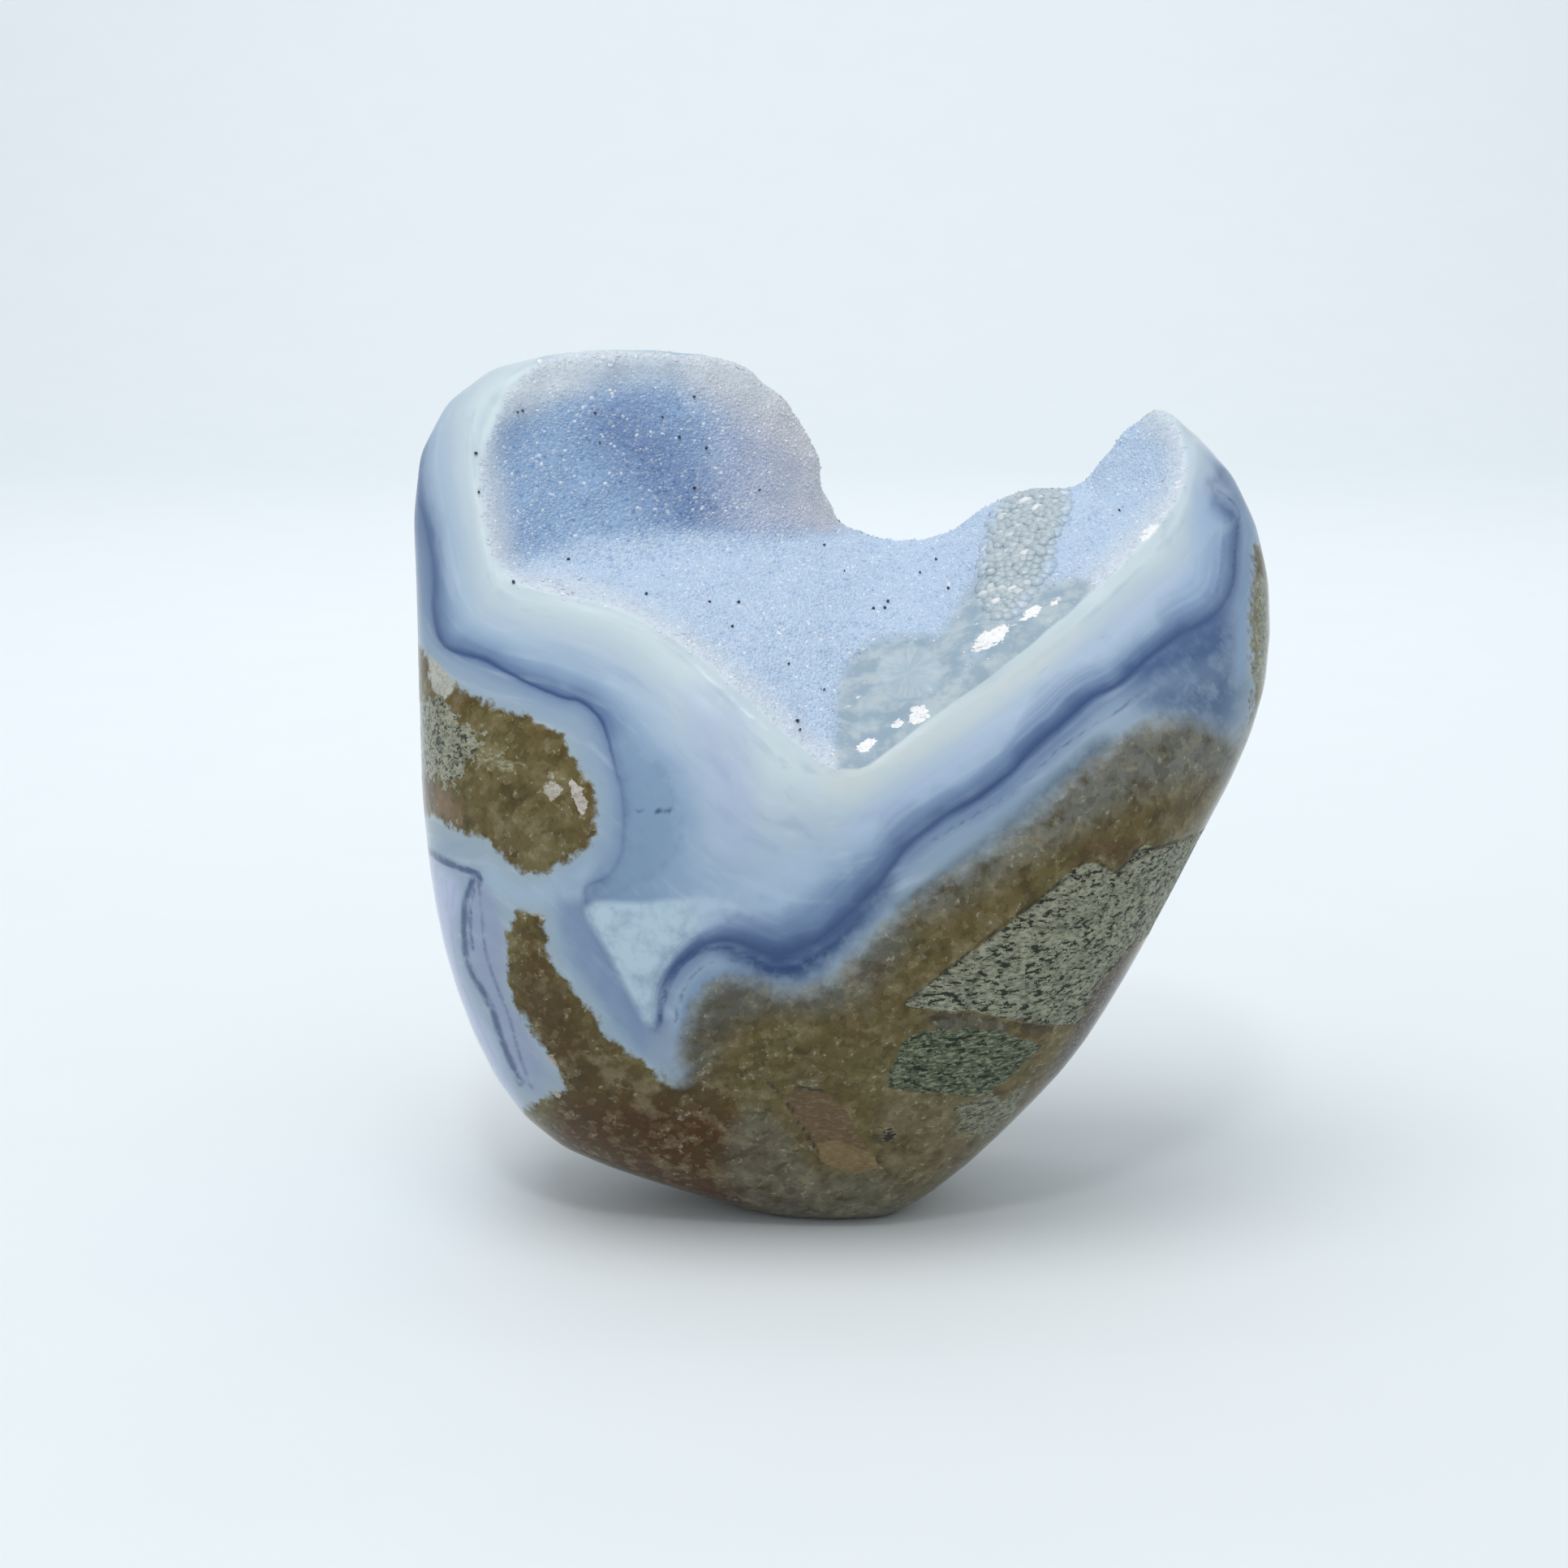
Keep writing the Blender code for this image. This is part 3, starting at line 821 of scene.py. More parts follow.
agateLook = {
    "innerBands": [
        (0.0, (192, 208, 216)), (0.1, (203, 217, 223)), (0.25, (188, 204, 213)), (0.42, (176, 194, 209)),
        (0.57, (169, 189, 208)), (0.7, (154, 177, 200)), (0.82, (130, 154, 183)), (0.92, (106, 130, 163)),
        (1.0, (96, 119, 154)),
    ],
    "outerBands": [
        (0.0, (100, 123, 158)), (0.15, (124, 146, 174)), (0.45, (142, 163, 186)), (0.8, (150, 170, 187)),
        (1.0, (156, 172, 182)),
    ],
    "streakLight": (208, 220, 232),
    "streakDark": (130, 152, 185),
    "ink": (50, 72, 116),
    "softInk": (86, 110, 150),
    "gloss": 0.12,
    "lipGloss": 0.34,  # more at the lip of the hollow, where the polish runs out
}

agateShader = {
    "IOR": 1.54,
    "Specular IOR Level": 0.2,
    "Subsurface Weight": 0.15,
    "Subsurface Radius": (0.8, 0.9, 1.0),
    "Subsurface Scale": 1.2 * mm,
}

inkPlan = {
    "width": 0.48,  # mm at the left
    "moreAtRight": 0.8,
    "outerSide": 0.62,  # how much narrower it is on the side of the rock
    "softReach": 3.0,
    "soft": 0.72,
    "core": 0.78,
    "vein": 0.8,
}

quartzLook = {
    "brown": (94, 80, 42),
    "olive": (98, 88, 50),
    "grey": (104, 100, 78),
    "milk": (146, 136, 104),
    "dark": (54, 44, 20),
    "fleck": (186, 184, 172),
    "rockFleck": (176, 178, 156),
    "grains": 1.5,  # to a mm
}

crackLook = {"colour": (52, 46, 36)}

hollowLook = {
    "disc": (186, 200, 209),
    "discShade": (166, 183, 194),
    "spokes": (("discCos", 5.0), ("discSin", 5.0), ("discSpan", 0.6)),
}


def bandColours(tree, slow, cloudy):
    rim = field(tree, "rimSpan")
    dark = field(tree, "darkSpan")
    rock = field(tree, "rockSpan")
    along = join(tree, times(tree, rim, 0.75), times(tree, dark, 0.3), times(tree, slow, 1.5))
    streak = grain(tree, along, "streaks")
    rim = calc(tree, "MAXIMUM", calc(tree, "MULTIPLY_ADD", slow, 1.2, rim), 0.0)
    softDark = calc(tree, "MULTIPLY_ADD", slow, 0.8, dark)
    width = calc(tree, "ABSOLUTE", softDark)
    innerShare = calc(tree, "DIVIDE", rim, calc(tree, "ADD", calc(tree, "ADD", rim, width), 0.001))
    rockGap = calc(tree, "MAXIMUM", rock, 0.0)
    outerShare = calc(tree, "DIVIDE", width, calc(tree, "ADD", calc(tree, "ADD", width, rockGap), 0.001))
    inner = ramp(tree, innerShare, agateLook["innerBands"])
    outer = ramp(tree, outerShare, agateLook["outerBands"])
    colour = layer(tree, fade(tree, softDark, -0.1, 0.3), inner, outer)
    colour = tint(tree, colour, streak, 0.52, 0.72, 0.22, agateLook["streakLight"])
    colour = tint(tree, colour, streak, 0.48, 0.3, 0.26, agateLook["streakDark"])
    ragged = calc(tree, "MULTIPLY_ADD", calc(tree, "SUBTRACT", cloudy, 0.5), 0.28, softDark)
    return colour, ragged


# soft-edged patches over a colour; share can hold them back
def addPatches(tree, cloudy, colour, plans, share=1.0):
    mottle = fade(tree, cloudy, 0.3, 0.6, 0.6, 1.0)
    held = times(tree, mottle, share)
    for name, plan in plans.items():
        strength = fade(tree, field(tree, name), plan["soft"], -plan["soft"], 0.0, plan["strength"])
        colour = layer(tree, times(tree, strength, held), colour, paint(plan["colour"]))
    return colour


def addInk(tree, ragged, slow, colour, dark):
    right = field(tree, "rightSide")
    share = field(tree, "inkShare")
    side = fade(tree, dark, -0.2, 0.2, 1.0, inkPlan["outerSide"])
    wide = calc(tree, "MULTIPLY_ADD", right, inkPlan["moreAtRight"], inkPlan["width"])
    wide = times(tree, wide, fade(tree, slow, -0.16, 0.16, 0.55, 1.3))
    wide = times(tree, wide, side)
    width = calc(tree, "ABSOLUTE", dark)
    sheet = join(tree, times(tree, dark, 1.7), times(tree, field(tree, "rimSpan"), 0.2))
    sheets = fade(tree, grain(tree, sheet, "sheets"), 0.32, 0.66, 0.45, 1.15)
    reach = times(tree, wide, inkPlan["softReach"])
    soft = calc(tree, "SUBTRACT", 1.0, calc(tree, "DIVIDE", width, reach), clamp=True)
    soft = times(tree, times(tree, soft, sheets), share)
    colour = layer(tree, times(tree, soft, inkPlan["soft"]), colour, paint(agateLook["softInk"]))
    core = calc(tree, "SUBTRACT", 1.0, calc(tree, "DIVIDE", width, wide), clamp=True)
    core = times(tree, core, share)
    colour = layer(tree, times(tree, core, inkPlan["core"]), colour, paint(agateLook["ink"]))
    vein = times(tree, field(tree, "vein"), fade(tree, ragged, 0.3, 0.6, 0.5, 1.1))
    return tint(tree, colour, vein, 0.15, 1.15, inkPlan["vein"], agateLook["ink"])


def quartzColours(tree, place, broad, teeth):
    shift = join(tree, times(tree, teeth, 1.5), times(tree, teeth, -1.1), times(tree, teeth, 1.9))
    bent = node(tree, "ShaderNodeVectorMath", {0: place, 1: shift}, operation="ADD").outputs[0]
    cells = node(tree, "ShaderNodeTexVoronoi", {"Vector": bent, "Scale": quartzLook["grains"]})
    grains = node(tree, "ShaderNodeSeparateColor", {0: cells.outputs["Color"]}).outputs[0]
    cloudy = grain(tree, place, "quartz")
    small = grain(tree, place, "quartzGrains")
    colour = tint(tree, paint(quartzLook["brown"]), broad, -0.1, 0.12, 1.0, quartzLook["olive"])
    colour = tint(tree, colour, broad, -0.08, -0.2, 0.5, quartzLook["grey"])
    colour = addPatches(tree, cloudy, colour, stains)
    for source, low, high, most, tone in (
        (cloudy, 0.5, 0.7, 0.45, "milk"),
        (cloudy, 0.48, 0.3, 0.55, "dark"),
        (grains, 0.5, 1.0, 0.22, "milk"),
        (grains, 0.4, 0.0, 0.28, "dark"),
        (small, 0.45, 0.3, 0.3, "dark"),
    ):
        colour = tint(tree, colour, source, low, high, most, quartzLook[tone])
    fleck = times(tree, fade(tree, small, 0.58, 0.64), fade(tree, grains, 0.75, 0.85))
    return layer(tree, times(tree, fleck, 0.32), colour, paint(quartzLook["fleck"]))


def addRocks(tree, place, cloudy, teeth, colour):
    slanted = stretched(tree, place, (0.0, math.radians(-38), 0.0), (0.6, 1.0, 1.4))
    specks = grain(tree, slanted, "rockSpecks")
    fine = grain(tree, slanted, "rockGrains")
    front = field(tree, "front")
    for name, plan in rocks.items():
        shade = plan["shade"]
        much = plan["grain"]
        own = tint(tree, paint(plan["light"]), cloudy, 0.4, 0.7, 0.4, shade)
        own = tint(tree, own, fine, 0.5, 0.64, 0.4 * much, quartzLook["rockFleck"])
        own = tint(tree, own, fine, 0.47, 0.37, 0.5 * much, shade)
        own = tint(tree, own, specks, 0.46, 0.425, plan["specks"], shade)
        edge = calc(tree, "MULTIPLY_ADD", teeth, plan["ragged"], field(tree, name))
        shown = fade(tree, edge, plan["edge"], -plan["edge"])
        if not plan["through"]:
            shown = times(tree, shown, front)
        colour = layer(tree, shown, colour, own)
    return colour


def agateMaterial():
    material, tree, shader = newMaterial("polishedLaceAgate", agateShader)
    place = ruler(tree)
    slow = calc(tree, "SUBTRACT", grain(tree, place, "slow"), 0.5)
    cloudy = grain(tree, place, "cloudy")
    colour, dark = bandColours(tree, slow, cloudy)
    colour = addPatches(tree, cloudy, colour, hazes, field(tree, "front"))
    colour = addInk(tree, cloudy, slow, colour, dark)
    teeth = calc(tree, "SUBTRACT", grain(tree, place, "teeth"), 0.5)
    rockEdge = calc(tree, "MULTIPLY_ADD", teeth, 2.2, field(tree, "rockSpan"))
    veilSpan = calc(tree, "MINIMUM", field(tree, "veilRight"), field(tree, "curlVeil"))
    veiled = calc(tree, "MULTIPLY_ADD", fade(tree, veilSpan, 2.0, 0.0), 1.2, 0.3)
    rockShare = fade(tree, calc(tree, "DIVIDE", rockEdge, veiled), 1.0, -1.0)
    quartz = quartzColours(tree, place, slow, teeth)
    quartz = addRocks(tree, place, cloudy, teeth, quartz)
    colour = layer(tree, rockShare, colour, quartz)
    crack = times(tree, field(tree, "crack"), fade(tree, cloudy, 0.3, 0.6, 0.3, 1.0))
    colour = tint(tree, colour, crack, 0.5, 1.2, 0.85, crackLook["colour"])
    openShare = fade(tree, field(tree, "wallSpan"), 0.85, 1.05)
    hollow = hollowColours(tree, place)
    spoke = (times(tree, field(tree, name), scale) for name, scale in hollowLook["spokes"])
    spokes = grain(tree, join(tree, *spoke), "disc")
    disc = tint(tree, paint(hollowLook["discShade"]), spokes, 0.3, 0.7, 1.0, hollowLook["disc"])
    discEdge = calc(tree, "MULTIPLY_ADD", teeth, 1.5, field(tree, "discSpan"))
    hollow = layer(tree, fade(tree, discEdge, 0.2, -0.2, 0.0, 0.8), hollow, disc)
    colour = layer(tree, openShare, colour, hollow)
    tree.links.new(colour, shader.inputs["Base Color"])
    worn = fade(tree, field(tree, "greyClast"), 0.1, -0.1, 0.0, 0.34)
    worn = calc(tree, "ADD", worn, fade(tree, field(tree, "greenClast"), 0.1, -0.1, 0.0, 0.3))
    smear = fade(tree, cloudy, 0.3, 0.7, 0.0, 0.06)
    rough = calc(tree, "ADD", calc(tree, "ADD", worn, smear), agateLook["gloss"])
    lip = fade(tree, field(tree, "wallSpan"), 0.15, 0.9, 0.0, agateLook["lipGloss"])
    rough = calc(tree, "ADD", rough, lip)
    tree.links.new(rough, shader.inputs["Roughness"])
    return material


# Druzy: small planted quartz points

druzyPlan = {
    "seed": 11,
    "openFrom": 1.02,  # mm over the stone's wall where the sugar of crystals starts
    "spread": 0.14,  # mm that a crystal wanders from its place
    "proud": 0.03,  # share of crystals that stand out of the sugar
    "proudHeight": (0.2, 0.34),
    "ragged": 0.05,  # mm by which the sugar's edge wanders
    "grownEdge": (0.1, 0.3),  # mm round the growths where the sugar thins out
    "backFrom": 14.0,  # mm behind the middle plane where no growth is seen
    "wallTo": 1040.0,  # pixel column at which the back wall ends
    "edgeShare": 0.3,  # height left at the lip
    "edgeTo": 4.0,  # mm from the lip where the crystals have their full height
    "margin": 0.2,  # mm round the lump and the disc
}

# sizes in mm; prism is the share of a crystal under its tip, gap the least way between two
sugar = {"radius": (0.18, 0.3), "height": (0.05, 0.14), "sink": 0.03, "tilt": 0.1, "prism": 0.0}
lumpCrystals = {
    "radius": (0.6, 1.0), "height": (0.2, 0.46), "sink": 0.3, "tilt": 0.14, "prism": 0.45, "gap": 0.68,
}
pearlPlates = {
    "radius": (0.25, 0.5), "height": (0.03, 0.08), "sink": 0.05, "tilt": 0.06, "prism": 0.0, "gap": 0.4,
}
oreGrains = {"radius": (0.1, 0.19), "height": (0.1, 0.19), "sink": 0.1, "tilt": 0.3, "prism": 0.5}

druzyLook = {
    "floor": (186, 208, 233),
    # wall: the crystals' own deeper blue, with painted shade because the wall stands upright, away from
    # the overhead light
    "wall": (148, 177, 212),
    # painted shade along a soft fold down the wall
    "foldShade": (113, 138, 181),
    # lilac: the lobe's own lilac, with painted light where the lobe turns toward the light
    "lilacAndLight": (190, 197, 217),
    "lip": (210, 220, 229),
    # pale: the lobe edge's own paler tone, with painted light where light shines through the thin edge
    "paleEdgeAndLight": (218, 219, 222),
    "growth": (145, 166, 181),
    "milk": (176, 190, 197),
    "pearl": (244, 245, 246),
    "bright": (255, 255, 255),
    "deep": (120, 148, 188),
    "gloss": 0.22,
}

druzyShader = {
    "IOR": 1.55,
    "Subsurface Weight": 0.15,
    "Subsurface Radius": (0.7, 0.85, 1.0),
    "Subsurface Scale": 0.8 * mm,
}

growthZones = {
    "upperLump": [
        (1210, 700), (1222, 650), (1236, 615), (1262, 596), (1292, 592), (1312, 606), (1314, 630),
        (1298, 665), (1290, 700), (1270, 735), (1240, 758), (1215, 745),
    ],
    "band": [
        (1190, 735), (1215, 700), (1245, 740), (1240, 770), (1205, 800), (1170, 830), (1150, 800),
        (1172, 765),
    ],
    "lowerLump": [
        (1035, 850), (1048, 815), (1080, 790), (1130, 784), (1170, 792), (1192, 820), (1170, 862),
        (1110, 900), (1065, 925), (1035, 900),
    ],
    "apron": [
        (1030, 925), (1045, 890), (1165, 850), (1195, 815), (1250, 755), (1285, 722), (1345, 722),
        (1300, 800), (1215, 865), (1155, 900), (1095, 940), (1045, 960),
    ],
}

# bright broken faces near the lip: centre, half length and half width in pixels, turned up to the right
pearls = [
    (1418, 656, 18, 9), (1272, 754, 20, 6), (1221, 786, 30, 12), (1131, 881, 14, 12), (1068, 918, 14, 8),
    (1105, 892, 10, 5), (1300, 742, 9, 4),
]

# course of the painted shade down the wall's fold, in pixels
foldShadeLine = [(770, 530), (800, 560), (835, 600), (865, 640)]

polishedDisc = [(1082, 828), (1092, 806), (1115, 798), (1145, 802), (1160, 822), (1156, 846), (1132, 858),
                (1100, 856)]
discMiddle = (1120, 828)


# six-sided points, all in one mesh
def plantPoints(name, spots, normals, plan, rng, heights=None):
    count = len(spots)
    radii = rng.uniform(*plan["radius"], count)
    if heights is None:
        heights = rng.uniform(*plan["height"], count)
    lean = normals + rng.normal(0.0, plan["tilt"], (count, 3))
    lean /= np.linalg.norm(lean, axis=1)[:, None]
    helper = np.where(np.abs(lean[:, 2:]) < 0.9, [[0.0, 0.0, 1.0]], [[1.0, 0.0, 0.0]])
    side = np.cross(lean, helper)
    side /= np.linalg.norm(side, axis=1)[:, None]
    across = np.cross(lean, side)
    spin = rng.uniform(0, math.tau, count)
    squash = rng.uniform(0.75, 1.0, count)
    prism = plan["prism"]
    levels = [(np.full(count, -plan["sink"]), 1.0)]
    if prism:
        levels.append((heights * prism, 0.86))
    corners = []
    for lift, girth in levels:
        for k in range(6):
            angle = spin + k * math.tau / 6
            reach = radii * girth
            out = side * (np.cos(angle) * reach)[:, None]
            out = out + across * (np.sin(angle) * reach * squash)[:, None]
            corners.append(spots + (out + lean * lift[:, None]) * mm)
    shift = side * (rng.uniform(-0.3, 0.3, count) * radii)[:, None]
    tip = spots + (lean * heights[:, None] + shift) * mm
    low, high = (np.array(c) for c in cadBounds)
    points = np.stack(corners + [tip], axis=1)
    each = points.shape[1]
    points = np.clip(points.reshape(-1, 3), low, high)
    pattern = [(5, 4, 3, 2, 1, 0)]
    top = each - 7
    for k in range(6):
        nextK = (k + 1) % 6
        if prism:
            pattern.append((k, nextK, 6 + nextK, 6 + k))
        pattern.append((top + k, top + nextK, each - 1))
    faces = [tuple(i * each + corner for corner in face) for i in range(count) for face in pattern]
    mesh = bpy.data.meshes.new(name)
    mesh.from_pydata(points.tolist(), [], faces)
    obj = bpy.data.objects.new(name, mesh)
    bpy.context.scene.collection.objects.link(obj)
    keepNumbers(mesh, "luck", np.repeat(rng.uniform(0, 1, count), each))
    return obj, each


def grownSpans(pixels):
    grown = np.full(len(pixels), 1e3)
    for zone in growthZones.values():
        grown = np.minimum(grown, signedSpan(pixels, zone, reach=patchReach))
    return grown


def pearlShares(pixels):
    turn = math.radians(-35)
    share = np.zeros(len(pixels))
    for x, y, length, width in pearls:
        away = pixels - (x, y)
        long = (away[:, 0] * math.cos(turn) + away[:, 1] * math.sin(turn)) / length
        short = (away[:, 1] * math.cos(turn) - away[:, 0] * math.sin(turn)) / width
        share = np.maximum(share, smoothStep(1.0 - long ** 2 - short ** 2, 0.0, 0.5))
    return share


# numbers that the colours of the hollow are worked out from
def hollowFields(pixels):
    return {
        "creaseSpan": (pixels[:, 1] - np.interp(pixels[:, 0], *np.array(lines["crease"]).T)) * pixelSize,
        "notchSpan": lineSpan(pixels, lines["notch"], reach=lipReach),
        "lipSpan": lineSpan(pixels, lines["rim"], reach=lipReach),
        "topSpan": lineSpan(pixels, lines["topEdge"], reach=lipReach),
        "foldShadeSpan": lineSpan(pixels, foldShadeLine, reach=lipReach),
        "across": pixels[:, 0],
        "grownSpan": grownSpans(pixels),
        "lumpSpan": signedSpan(pixels, growthZones["upperLump"], reach=lipReach),
        "pearl": pearlShares(pixels),
    }


def druzyFields(obj, pixels, each):
    for name, values in hollowFields(pixels).items():
        keepNumbers(obj.data, name, np.repeat(values, each))


def hollowColours(tree, place):
    soft = grain(tree, place, "crease")
    crease = calc(tree, "MULTIPLY_ADD", calc(tree, "SUBTRACT", soft, 0.5), 2.0, field(tree, "creaseSpan"))
    across = field(tree, "across")
    # wallShare marks the upright wall, painted darker than the floor: partly its own deeper blue, partly
    # painted shade
    wallShare = times(tree, fade(tree, crease, 1.2, -1.5), fade(tree, across, 1080.0, 1010.0))
    colour = layer(tree, wallShare, paint(druzyLook["floor"]), paint(druzyLook["wall"]))
    for name, low, high, most, tone in (
        # painted shade along the wall's fold
        ("foldShadeSpan", 6.5, 0.0, 0.8, "foldShade"),
        # painted light, with the lobe's own lilac, where the lobe turns toward the light
        ("across", 840.0, 950.0, 0.9, "lilacAndLight"),
        # painted light, with the edge's own paler tone, at the thin edge of the lobe
        ("notchSpan", 6.5, 0.3, 0.88, "paleEdgeAndLight"),
        ("topSpan", 4.2, 0.2, 0.9, "lip"),
    ):
        share = times(tree, fade(tree, field(tree, name), low, high, 0.0, most), wallShare)
        colour = layer(tree, share, colour, paint(druzyLook[tone]))
    colour = tint(tree, colour, field(tree, "lipSpan"), 3.5, 0.2, 0.8, druzyLook["lip"])
    patchy = grain(tree, place, "milk")
    grownShare = fade(tree, field(tree, "grownSpan"), 0.9, -0.7, 0.0, 0.95)
    lumpShare = fade(tree, field(tree, "lumpSpan"), 1.2, -0.5)
    milky = calc(tree, "ADD", fade(tree, patchy, 0.4, 0.65), lumpShare, clamp=True)
    milky = layer(tree, milky, paint(druzyLook["growth"]), paint(druzyLook["milk"]))
    colour = layer(tree, grownShare, colour, milky)
    broken = stretched(tree, place, (0.0, math.radians(35), 0.0), (0.45, 1.0, 1.3))
    pearl = calc(tree, "MULTIPLY_ADD", grain(tree, broken, "pearl"), 3.0, field(tree, "pearl"))
    pearl = calc(tree, "SUBTRACT", pearl, 1.6)
    return tint(tree, colour, pearl, 0.4, 0.6, 1.0, druzyLook["pearl"])


def druzyMaterial():
    material, tree, shader = newMaterial("druzyQuartz", druzyShader)
    place = ruler(tree)
    colour = hollowColours(tree, place)
    luck = field(tree, "luck")
    for low, high, most, tone in (
        (0.75, 1.0, 0.3, "bright"),
        (0.975, 0.985, 0.42, "bright"),  # painted glints: a few crystals painted white as if they caught the light
        (0.3, 0.0, 0.1, "deep"),
    ):
        colour = tint(tree, colour, luck, low, high, most, druzyLook[tone])
    tree.links.new(colour, shader.inputs["Base Color"])
    rough = calc(tree, "MULTIPLY_ADD", luck, 0.3, druzyLook["gloss"])
    tree.links.new(rough, shader.inputs["Roughness"])
    frost = grain(tree, place, "frost")
    bump = node(tree, "ShaderNodeBump", {"Strength": 0.15, "Distance": 0.05 * mm, "Height": frost})
    tree.links.new(bump.outputs[0], shader.inputs["Normal"])
    return material


# indices of places at least a gap apart
def thinned(spots, mask, gap, rng):
    order = rng.permutation(np.where(mask)[0])
    cells = {}
    kept = []
    for i in order:
        key = tuple((spots[i] // gap).astype(int))
        near = [
            j
            for dx in (-1, 0, 1)
            for dy in (-1, 0, 1)
            for dz in (-1, 0, 1)
            for j in cells.get((key[0] + dx, key[1] + dy, key[2] + dz), [])
        ]
        if all(np.linalg.norm(spots[i] - spots[j]) >= gap for j in near):
            cells.setdefault(key, []).append(i)
            kept.append(i)
    return np.array(kept, int)


def buildDruzy(mesh, points, normals, fields, material):
    rng = np.random.default_rng(druzyPlan["seed"])
    corners = np.array([tuple(p.vertices)[:3] for p in mesh.polygons])
    spots = np.vstack((points, points[corners].mean(axis=1)))
    facing = np.vstack((normals, normals[corners].mean(axis=1)))
    over = np.concatenate((fields["wallSpan"], fields["wallSpan"][corners].mean(axis=1)))
    ragged = rng.normal(0.0, druzyPlan["ragged"], len(over))
    chosen = over + ragged > druzyPlan["openFrom"]
    spots = spots[chosen]
    facing = facing[chosen]
    jitter = rng.normal(0.0, druzyPlan["spread"] * mm, spots.shape)
    jitter -= facing * np.sum(jitter * facing, axis=1)[:, None]
    spots = spots + jitter
    pixels = pixelsOf(spots)
    grown = grownSpans(pixels)
    disc = signedSpan(pixels, polishedDisc)
    fine = grown > rng.normal(*druzyPlan["grownEdge"], len(spots))
    fine |= spots[:, 1] > druzyPlan["backFrom"] * mm
    crease = np.interp(pixels[:, 0], *np.array(lines["crease"]).T)
    onWall = (pixels[:, 1] < crease) & (pixels[:, 0] < druzyPlan["wallTo"])
    edge = np.minimum(*(lineSpan(pixels, lines[name], reach=lipReach) for name in ("rim", "topEdge")))
    low = druzyPlan["edgeShare"]
    lowNearEdge = low + (1 - low) * smoothStep(edge, 0.5, druzyPlan["edgeTo"])
    made = []
    for name, mask in (("druzyWall", onWall & fine), ("druzyFloor", ~onWall & fine)):
        count = int(mask.sum())
        heights = rng.uniform(*sugar["height"], count)
        proud = rng.uniform(0, 1, count) < druzyPlan["proud"]
        heights[proud] = rng.uniform(*druzyPlan["proudHeight"], int(proud.sum()))
        heights *= lowNearEdge[mask]
        obj, each = plantPoints(name, spots[mask], facing[mask], sugar, rng, heights)
        druzyFields(obj, pixels[mask], each)
        made.append(obj)
        print(name, count, "crystals")
    lump = signedSpan(pixels, growthZones["upperLump"]) < druzyPlan["margin"]
    bright = ~fine & ~lump & (disc > druzyPlan["margin"])
    bright &= pearlShares(pixels) > rng.uniform(0.1, 1.2, len(pixels))
    kinds = (("growthCrystals", ~fine & lump, lumpCrystals), ("pearlPlates", bright, pearlPlates))
    for name, mask, plan in kinds:
        kept = thinned(spots, mask, plan["gap"] * mm, rng)
        obj, each = plantPoints(name, spots[kept], facing[kept], plan, rng)
        if plan is lumpCrystals:
            obj.data.shade_smooth()
        druzyFields(obj, pixels[kept], each)
        made.append(obj)
        print(name, len(kept), "crystals")
    for obj in made:
        obj.data.materials.append(material)
    return made


# Dark specks: grains of ore on the druzy

speckPlan = {
    "seed": 3,
    "lift": 0.16,  # mm over the skin, so that a grain lies on the crystals
    "dark": (30, 34, 44),
    "light": (58, 62, 76),
    "places": [
        (637, 508), (643, 506), (855, 489), (733, 509), (816, 514), (837, 539), (870, 552), (739, 546),
        (855, 602), (935, 604), (1015, 673), (1154, 691), (1134, 707), (1169, 726), (633, 718), (874, 743),
        (902, 773), (1090, 750), (1094, 742), (971, 819), (1015, 851), (982, 889), (1307, 621), (590, 607),
        (587, 559), (910, 743), (796, 733), (700, 690), (1040, 705), (1076, 751), (1380, 630), (985, 900),
    ],
}


def speckMaterial():
    material, tree, shader = newMaterial("darkOre", {"Roughness": 0.35})
    mottle = grain(tree, ruler(tree), "ore")
    colour = tint(tree, paint(speckPlan["dark"]), mottle, 0.4, 0.6, 1.0, speckPlan["light"])
    tree.links.new(colour, shader.inputs["Base Color"])
    return material


def buildSpecks(skin):
    tree = treeOf(skin)
    rng = np.random.default_rng(speckPlan["seed"])
    tilt = math.radians(shot["lookDown"])
    half = shot["framePixels"] / 2
    origin = Vector(shot["place"]) * mm
    spots = []
    facing = []
    for x, y in speckPlan["places"]:
        right = (x - half) / shot["focalPixels"]
        up = (half - y) / shot["focalPixels"]
        ray = Vector((
            right,
            math.cos(tilt) + up * math.sin(tilt),
            up * math.cos(tilt) - math.sin(tilt),
        )).normalized()
        spot, normal, _, _ = tree.ray_cast(origin, ray)
        if spot is None:
            continue
        spots.append(spot + normal * speckPlan["lift"] * mm)
        facing.append(normal)
    specks, _ = plantPoints("darkSpecks", np.array(spots), np.array(facing), oreGrains, rng)
    specks.data.materials.append(speckMaterial())
    print("dark specks:", len(spots))
    return specks


# Studio

studio = {
    "paper": (233, 240, 244),
    "paperShade": (214, 222, 228),
    "floorBack": 0.7,  # m behind the stone where the paper starts to rise
    "floorFront": 1.4,
    "width": 3.4,
    "height": 1.8,
    "bend": 0.5,
    "sky": (0.93, 0.955, 0.98),
    "skyStrength": 0.66,
}

# round lamps: place, what they are turned to and width in m, and power in W
stoneMiddle = (0.0, 0.0, 0.045)
lamps = {
    "overhead": {
        "place": (-0.1, -0.16, 0.62), "aim": stoneMiddle, "size": 0.4, "power": 1.45,
        "colour": (1.0, 0.985, 0.96),
    },
    "backWash": {
        "place": (0.0, 0.25, 0.75), "aim": (0.0, 1.2, 0.35), "size": 0.5, "power": 3.0,
        "colour": (1.0, 1.0, 1.0),
    },
    "spark": {
        "place": (-0.05, -0.42, 0.58), "aim": stoneMiddle, "size": 0.08, "power": 0.5,
        "colour": (1.0, 1.0, 1.0),
    },
}


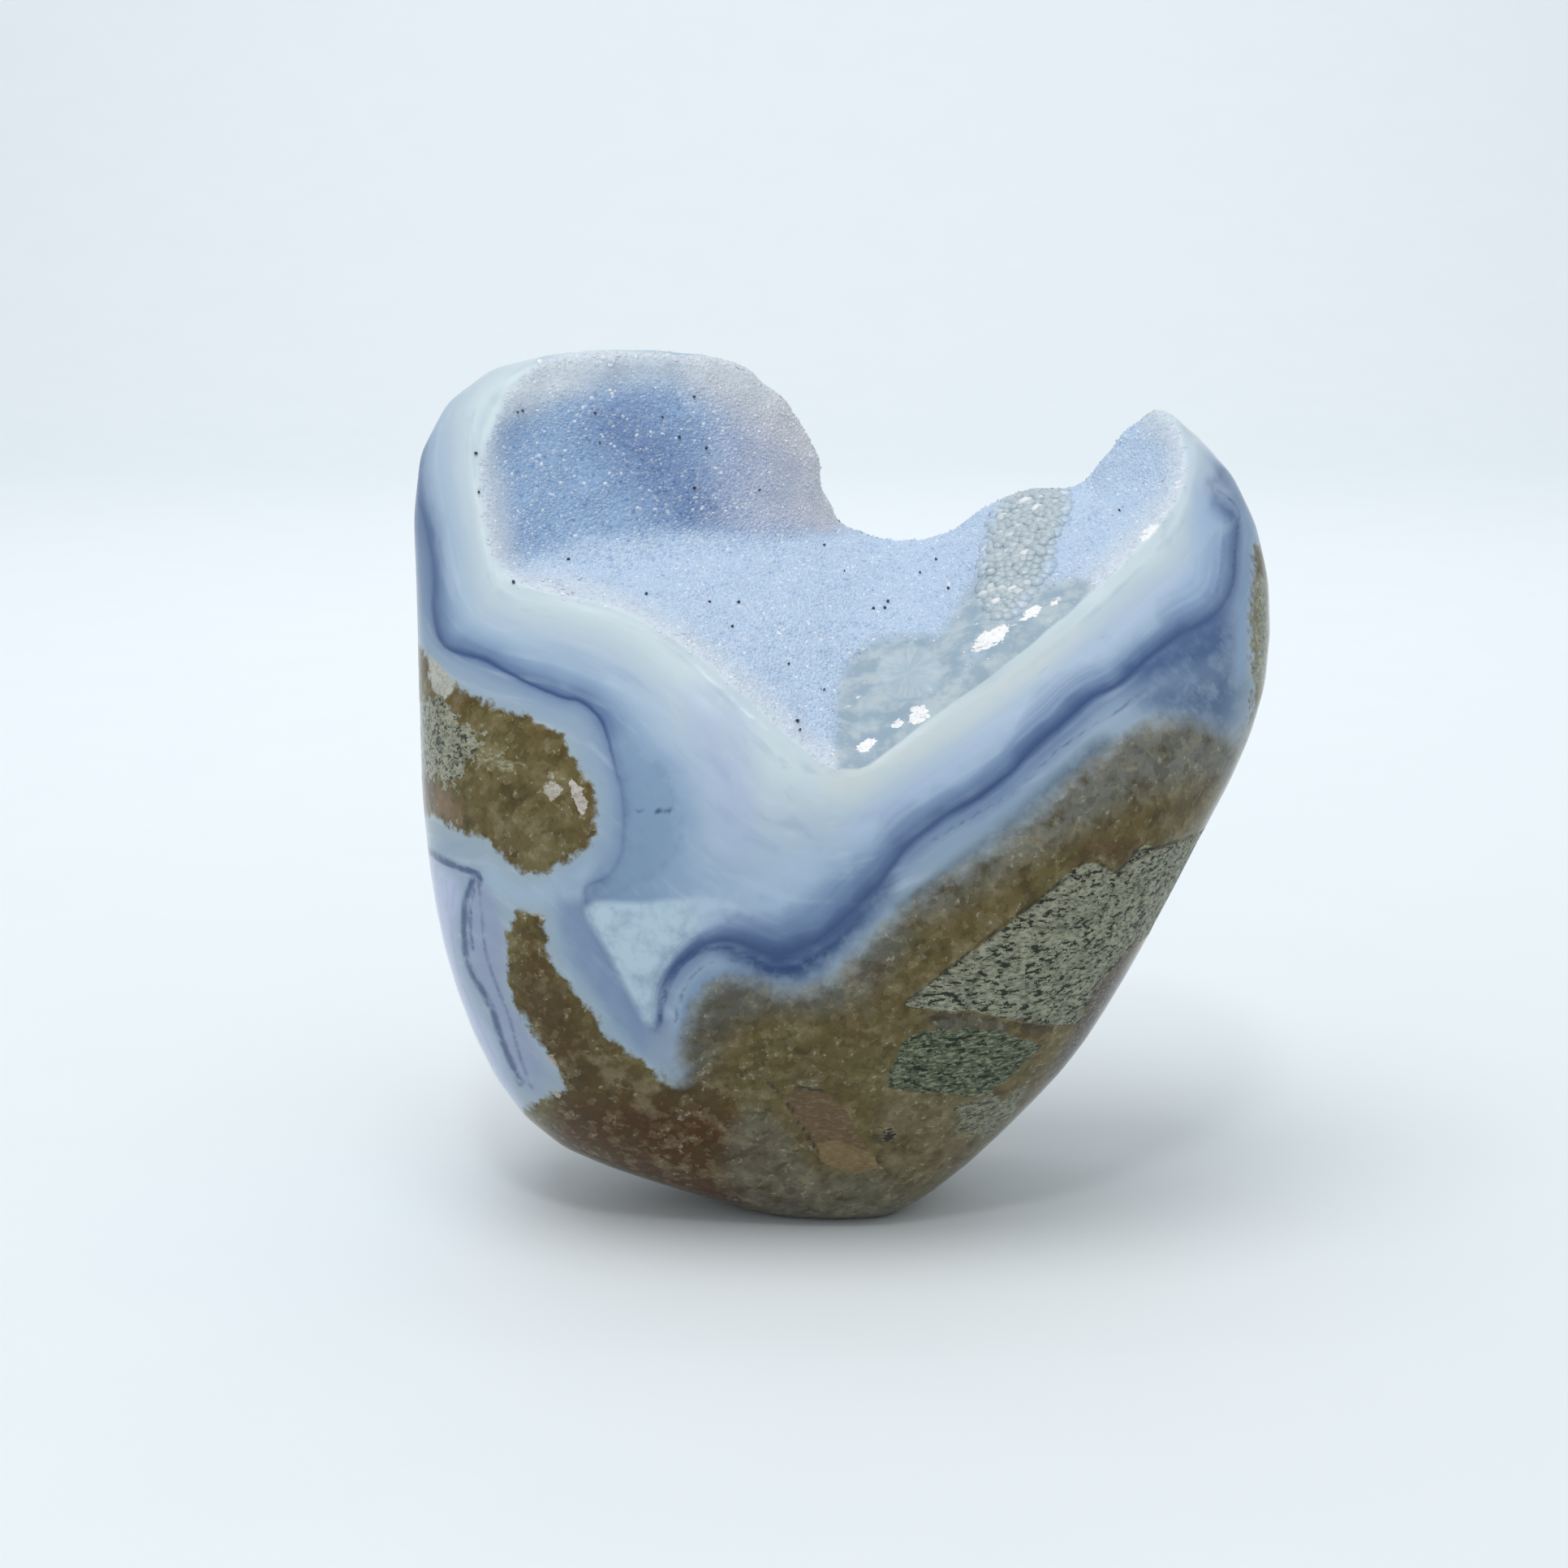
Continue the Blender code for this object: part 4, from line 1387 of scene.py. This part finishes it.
def addPaper():
    profile = [(-studio["floorFront"], 0.0), (studio["floorBack"], 0.0)]
    for i in range(1, 13):
        angle = math.radians(90.0 * i / 12)
        profile.append((
            studio["floorBack"] + studio["bend"] * math.sin(angle),
            studio["bend"] * (1 - math.cos(angle)),
        ))
    profile.append((studio["floorBack"] + studio["bend"], studio["height"]))
    half = studio["width"] / 2
    verts = [(x, y, z) for y, z in profile for x in (-half, half)]
    faces = [(2 * i, 2 * i + 1, 2 * i + 3, 2 * i + 2) for i in range(len(profile) - 1)]
    mesh = bpy.data.meshes.new("paperSweep")
    mesh.from_pydata(verts, [], faces)
    mesh.shade_smooth()
    paper = bpy.data.objects.new("paperSweep", mesh)
    bpy.context.scene.collection.objects.link(paper)
    material, tree, shader = newMaterial("palePaper", {"Roughness": 0.8})
    fibre = grain(tree, ruler(tree), "paper")
    colour = tint(tree, paint(studio["paper"]), fibre, 0.3, 0.7, 0.05, studio["paperShade"])
    tree.links.new(colour, shader.inputs["Base Color"])
    mesh.materials.append(material)


def addLight(name, place, aim, size, power, colour):
    data = bpy.data.lights.new(name, "AREA")
    data.shape = "DISK"
    data.size = size
    data.energy = power
    data.color = colour
    light = bpy.data.objects.new(name, data)
    light.location = place
    light.rotation_mode = "QUATERNION"
    light.rotation_quaternion = (Vector(aim) - Vector(place)).to_track_quat("-Z", "Y")
    bpy.context.scene.collection.objects.link(light)


def lightStudio():
    world = bpy.data.worlds.new("paleRoom")
    world.use_nodes = True
    back = world.node_tree.nodes["Background"]
    back.inputs[0].default_value = (*studio["sky"], 1.0)
    back.inputs[1].default_value = studio["skyStrength"]
    bpy.context.scene.world = world
    for name, lamp in lamps.items():
        addLight(name, **lamp)
    bpy.context.scene.view_settings.view_transform = "Standard"


def dress():
    stoneTree = treeOf(stoneNode)
    crustTree = treeOf(crustNode)
    skin, mean = buildSkin(stoneTree, crustTree)
    mesh = skin.data
    points = pointsOf(mesh)
    fields = markStone(mesh, points, stoneTree, crustTree)
    points = carveSkin(mesh, points, mean, fields)
    mesh.materials.clear()
    mesh.materials.append(agateMaterial())
    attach(skin, "root")
    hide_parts("agate_stone")
    for piece in buildDruzy(mesh, points, normalsOf(mesh), fields, druzyMaterial()):
        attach(piece, "root")
        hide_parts("druzy_crust")
    specks = buildSpecks(skin)
    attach(specks, "root")


addCamera()
addPaper()
lightStudio()
dress()
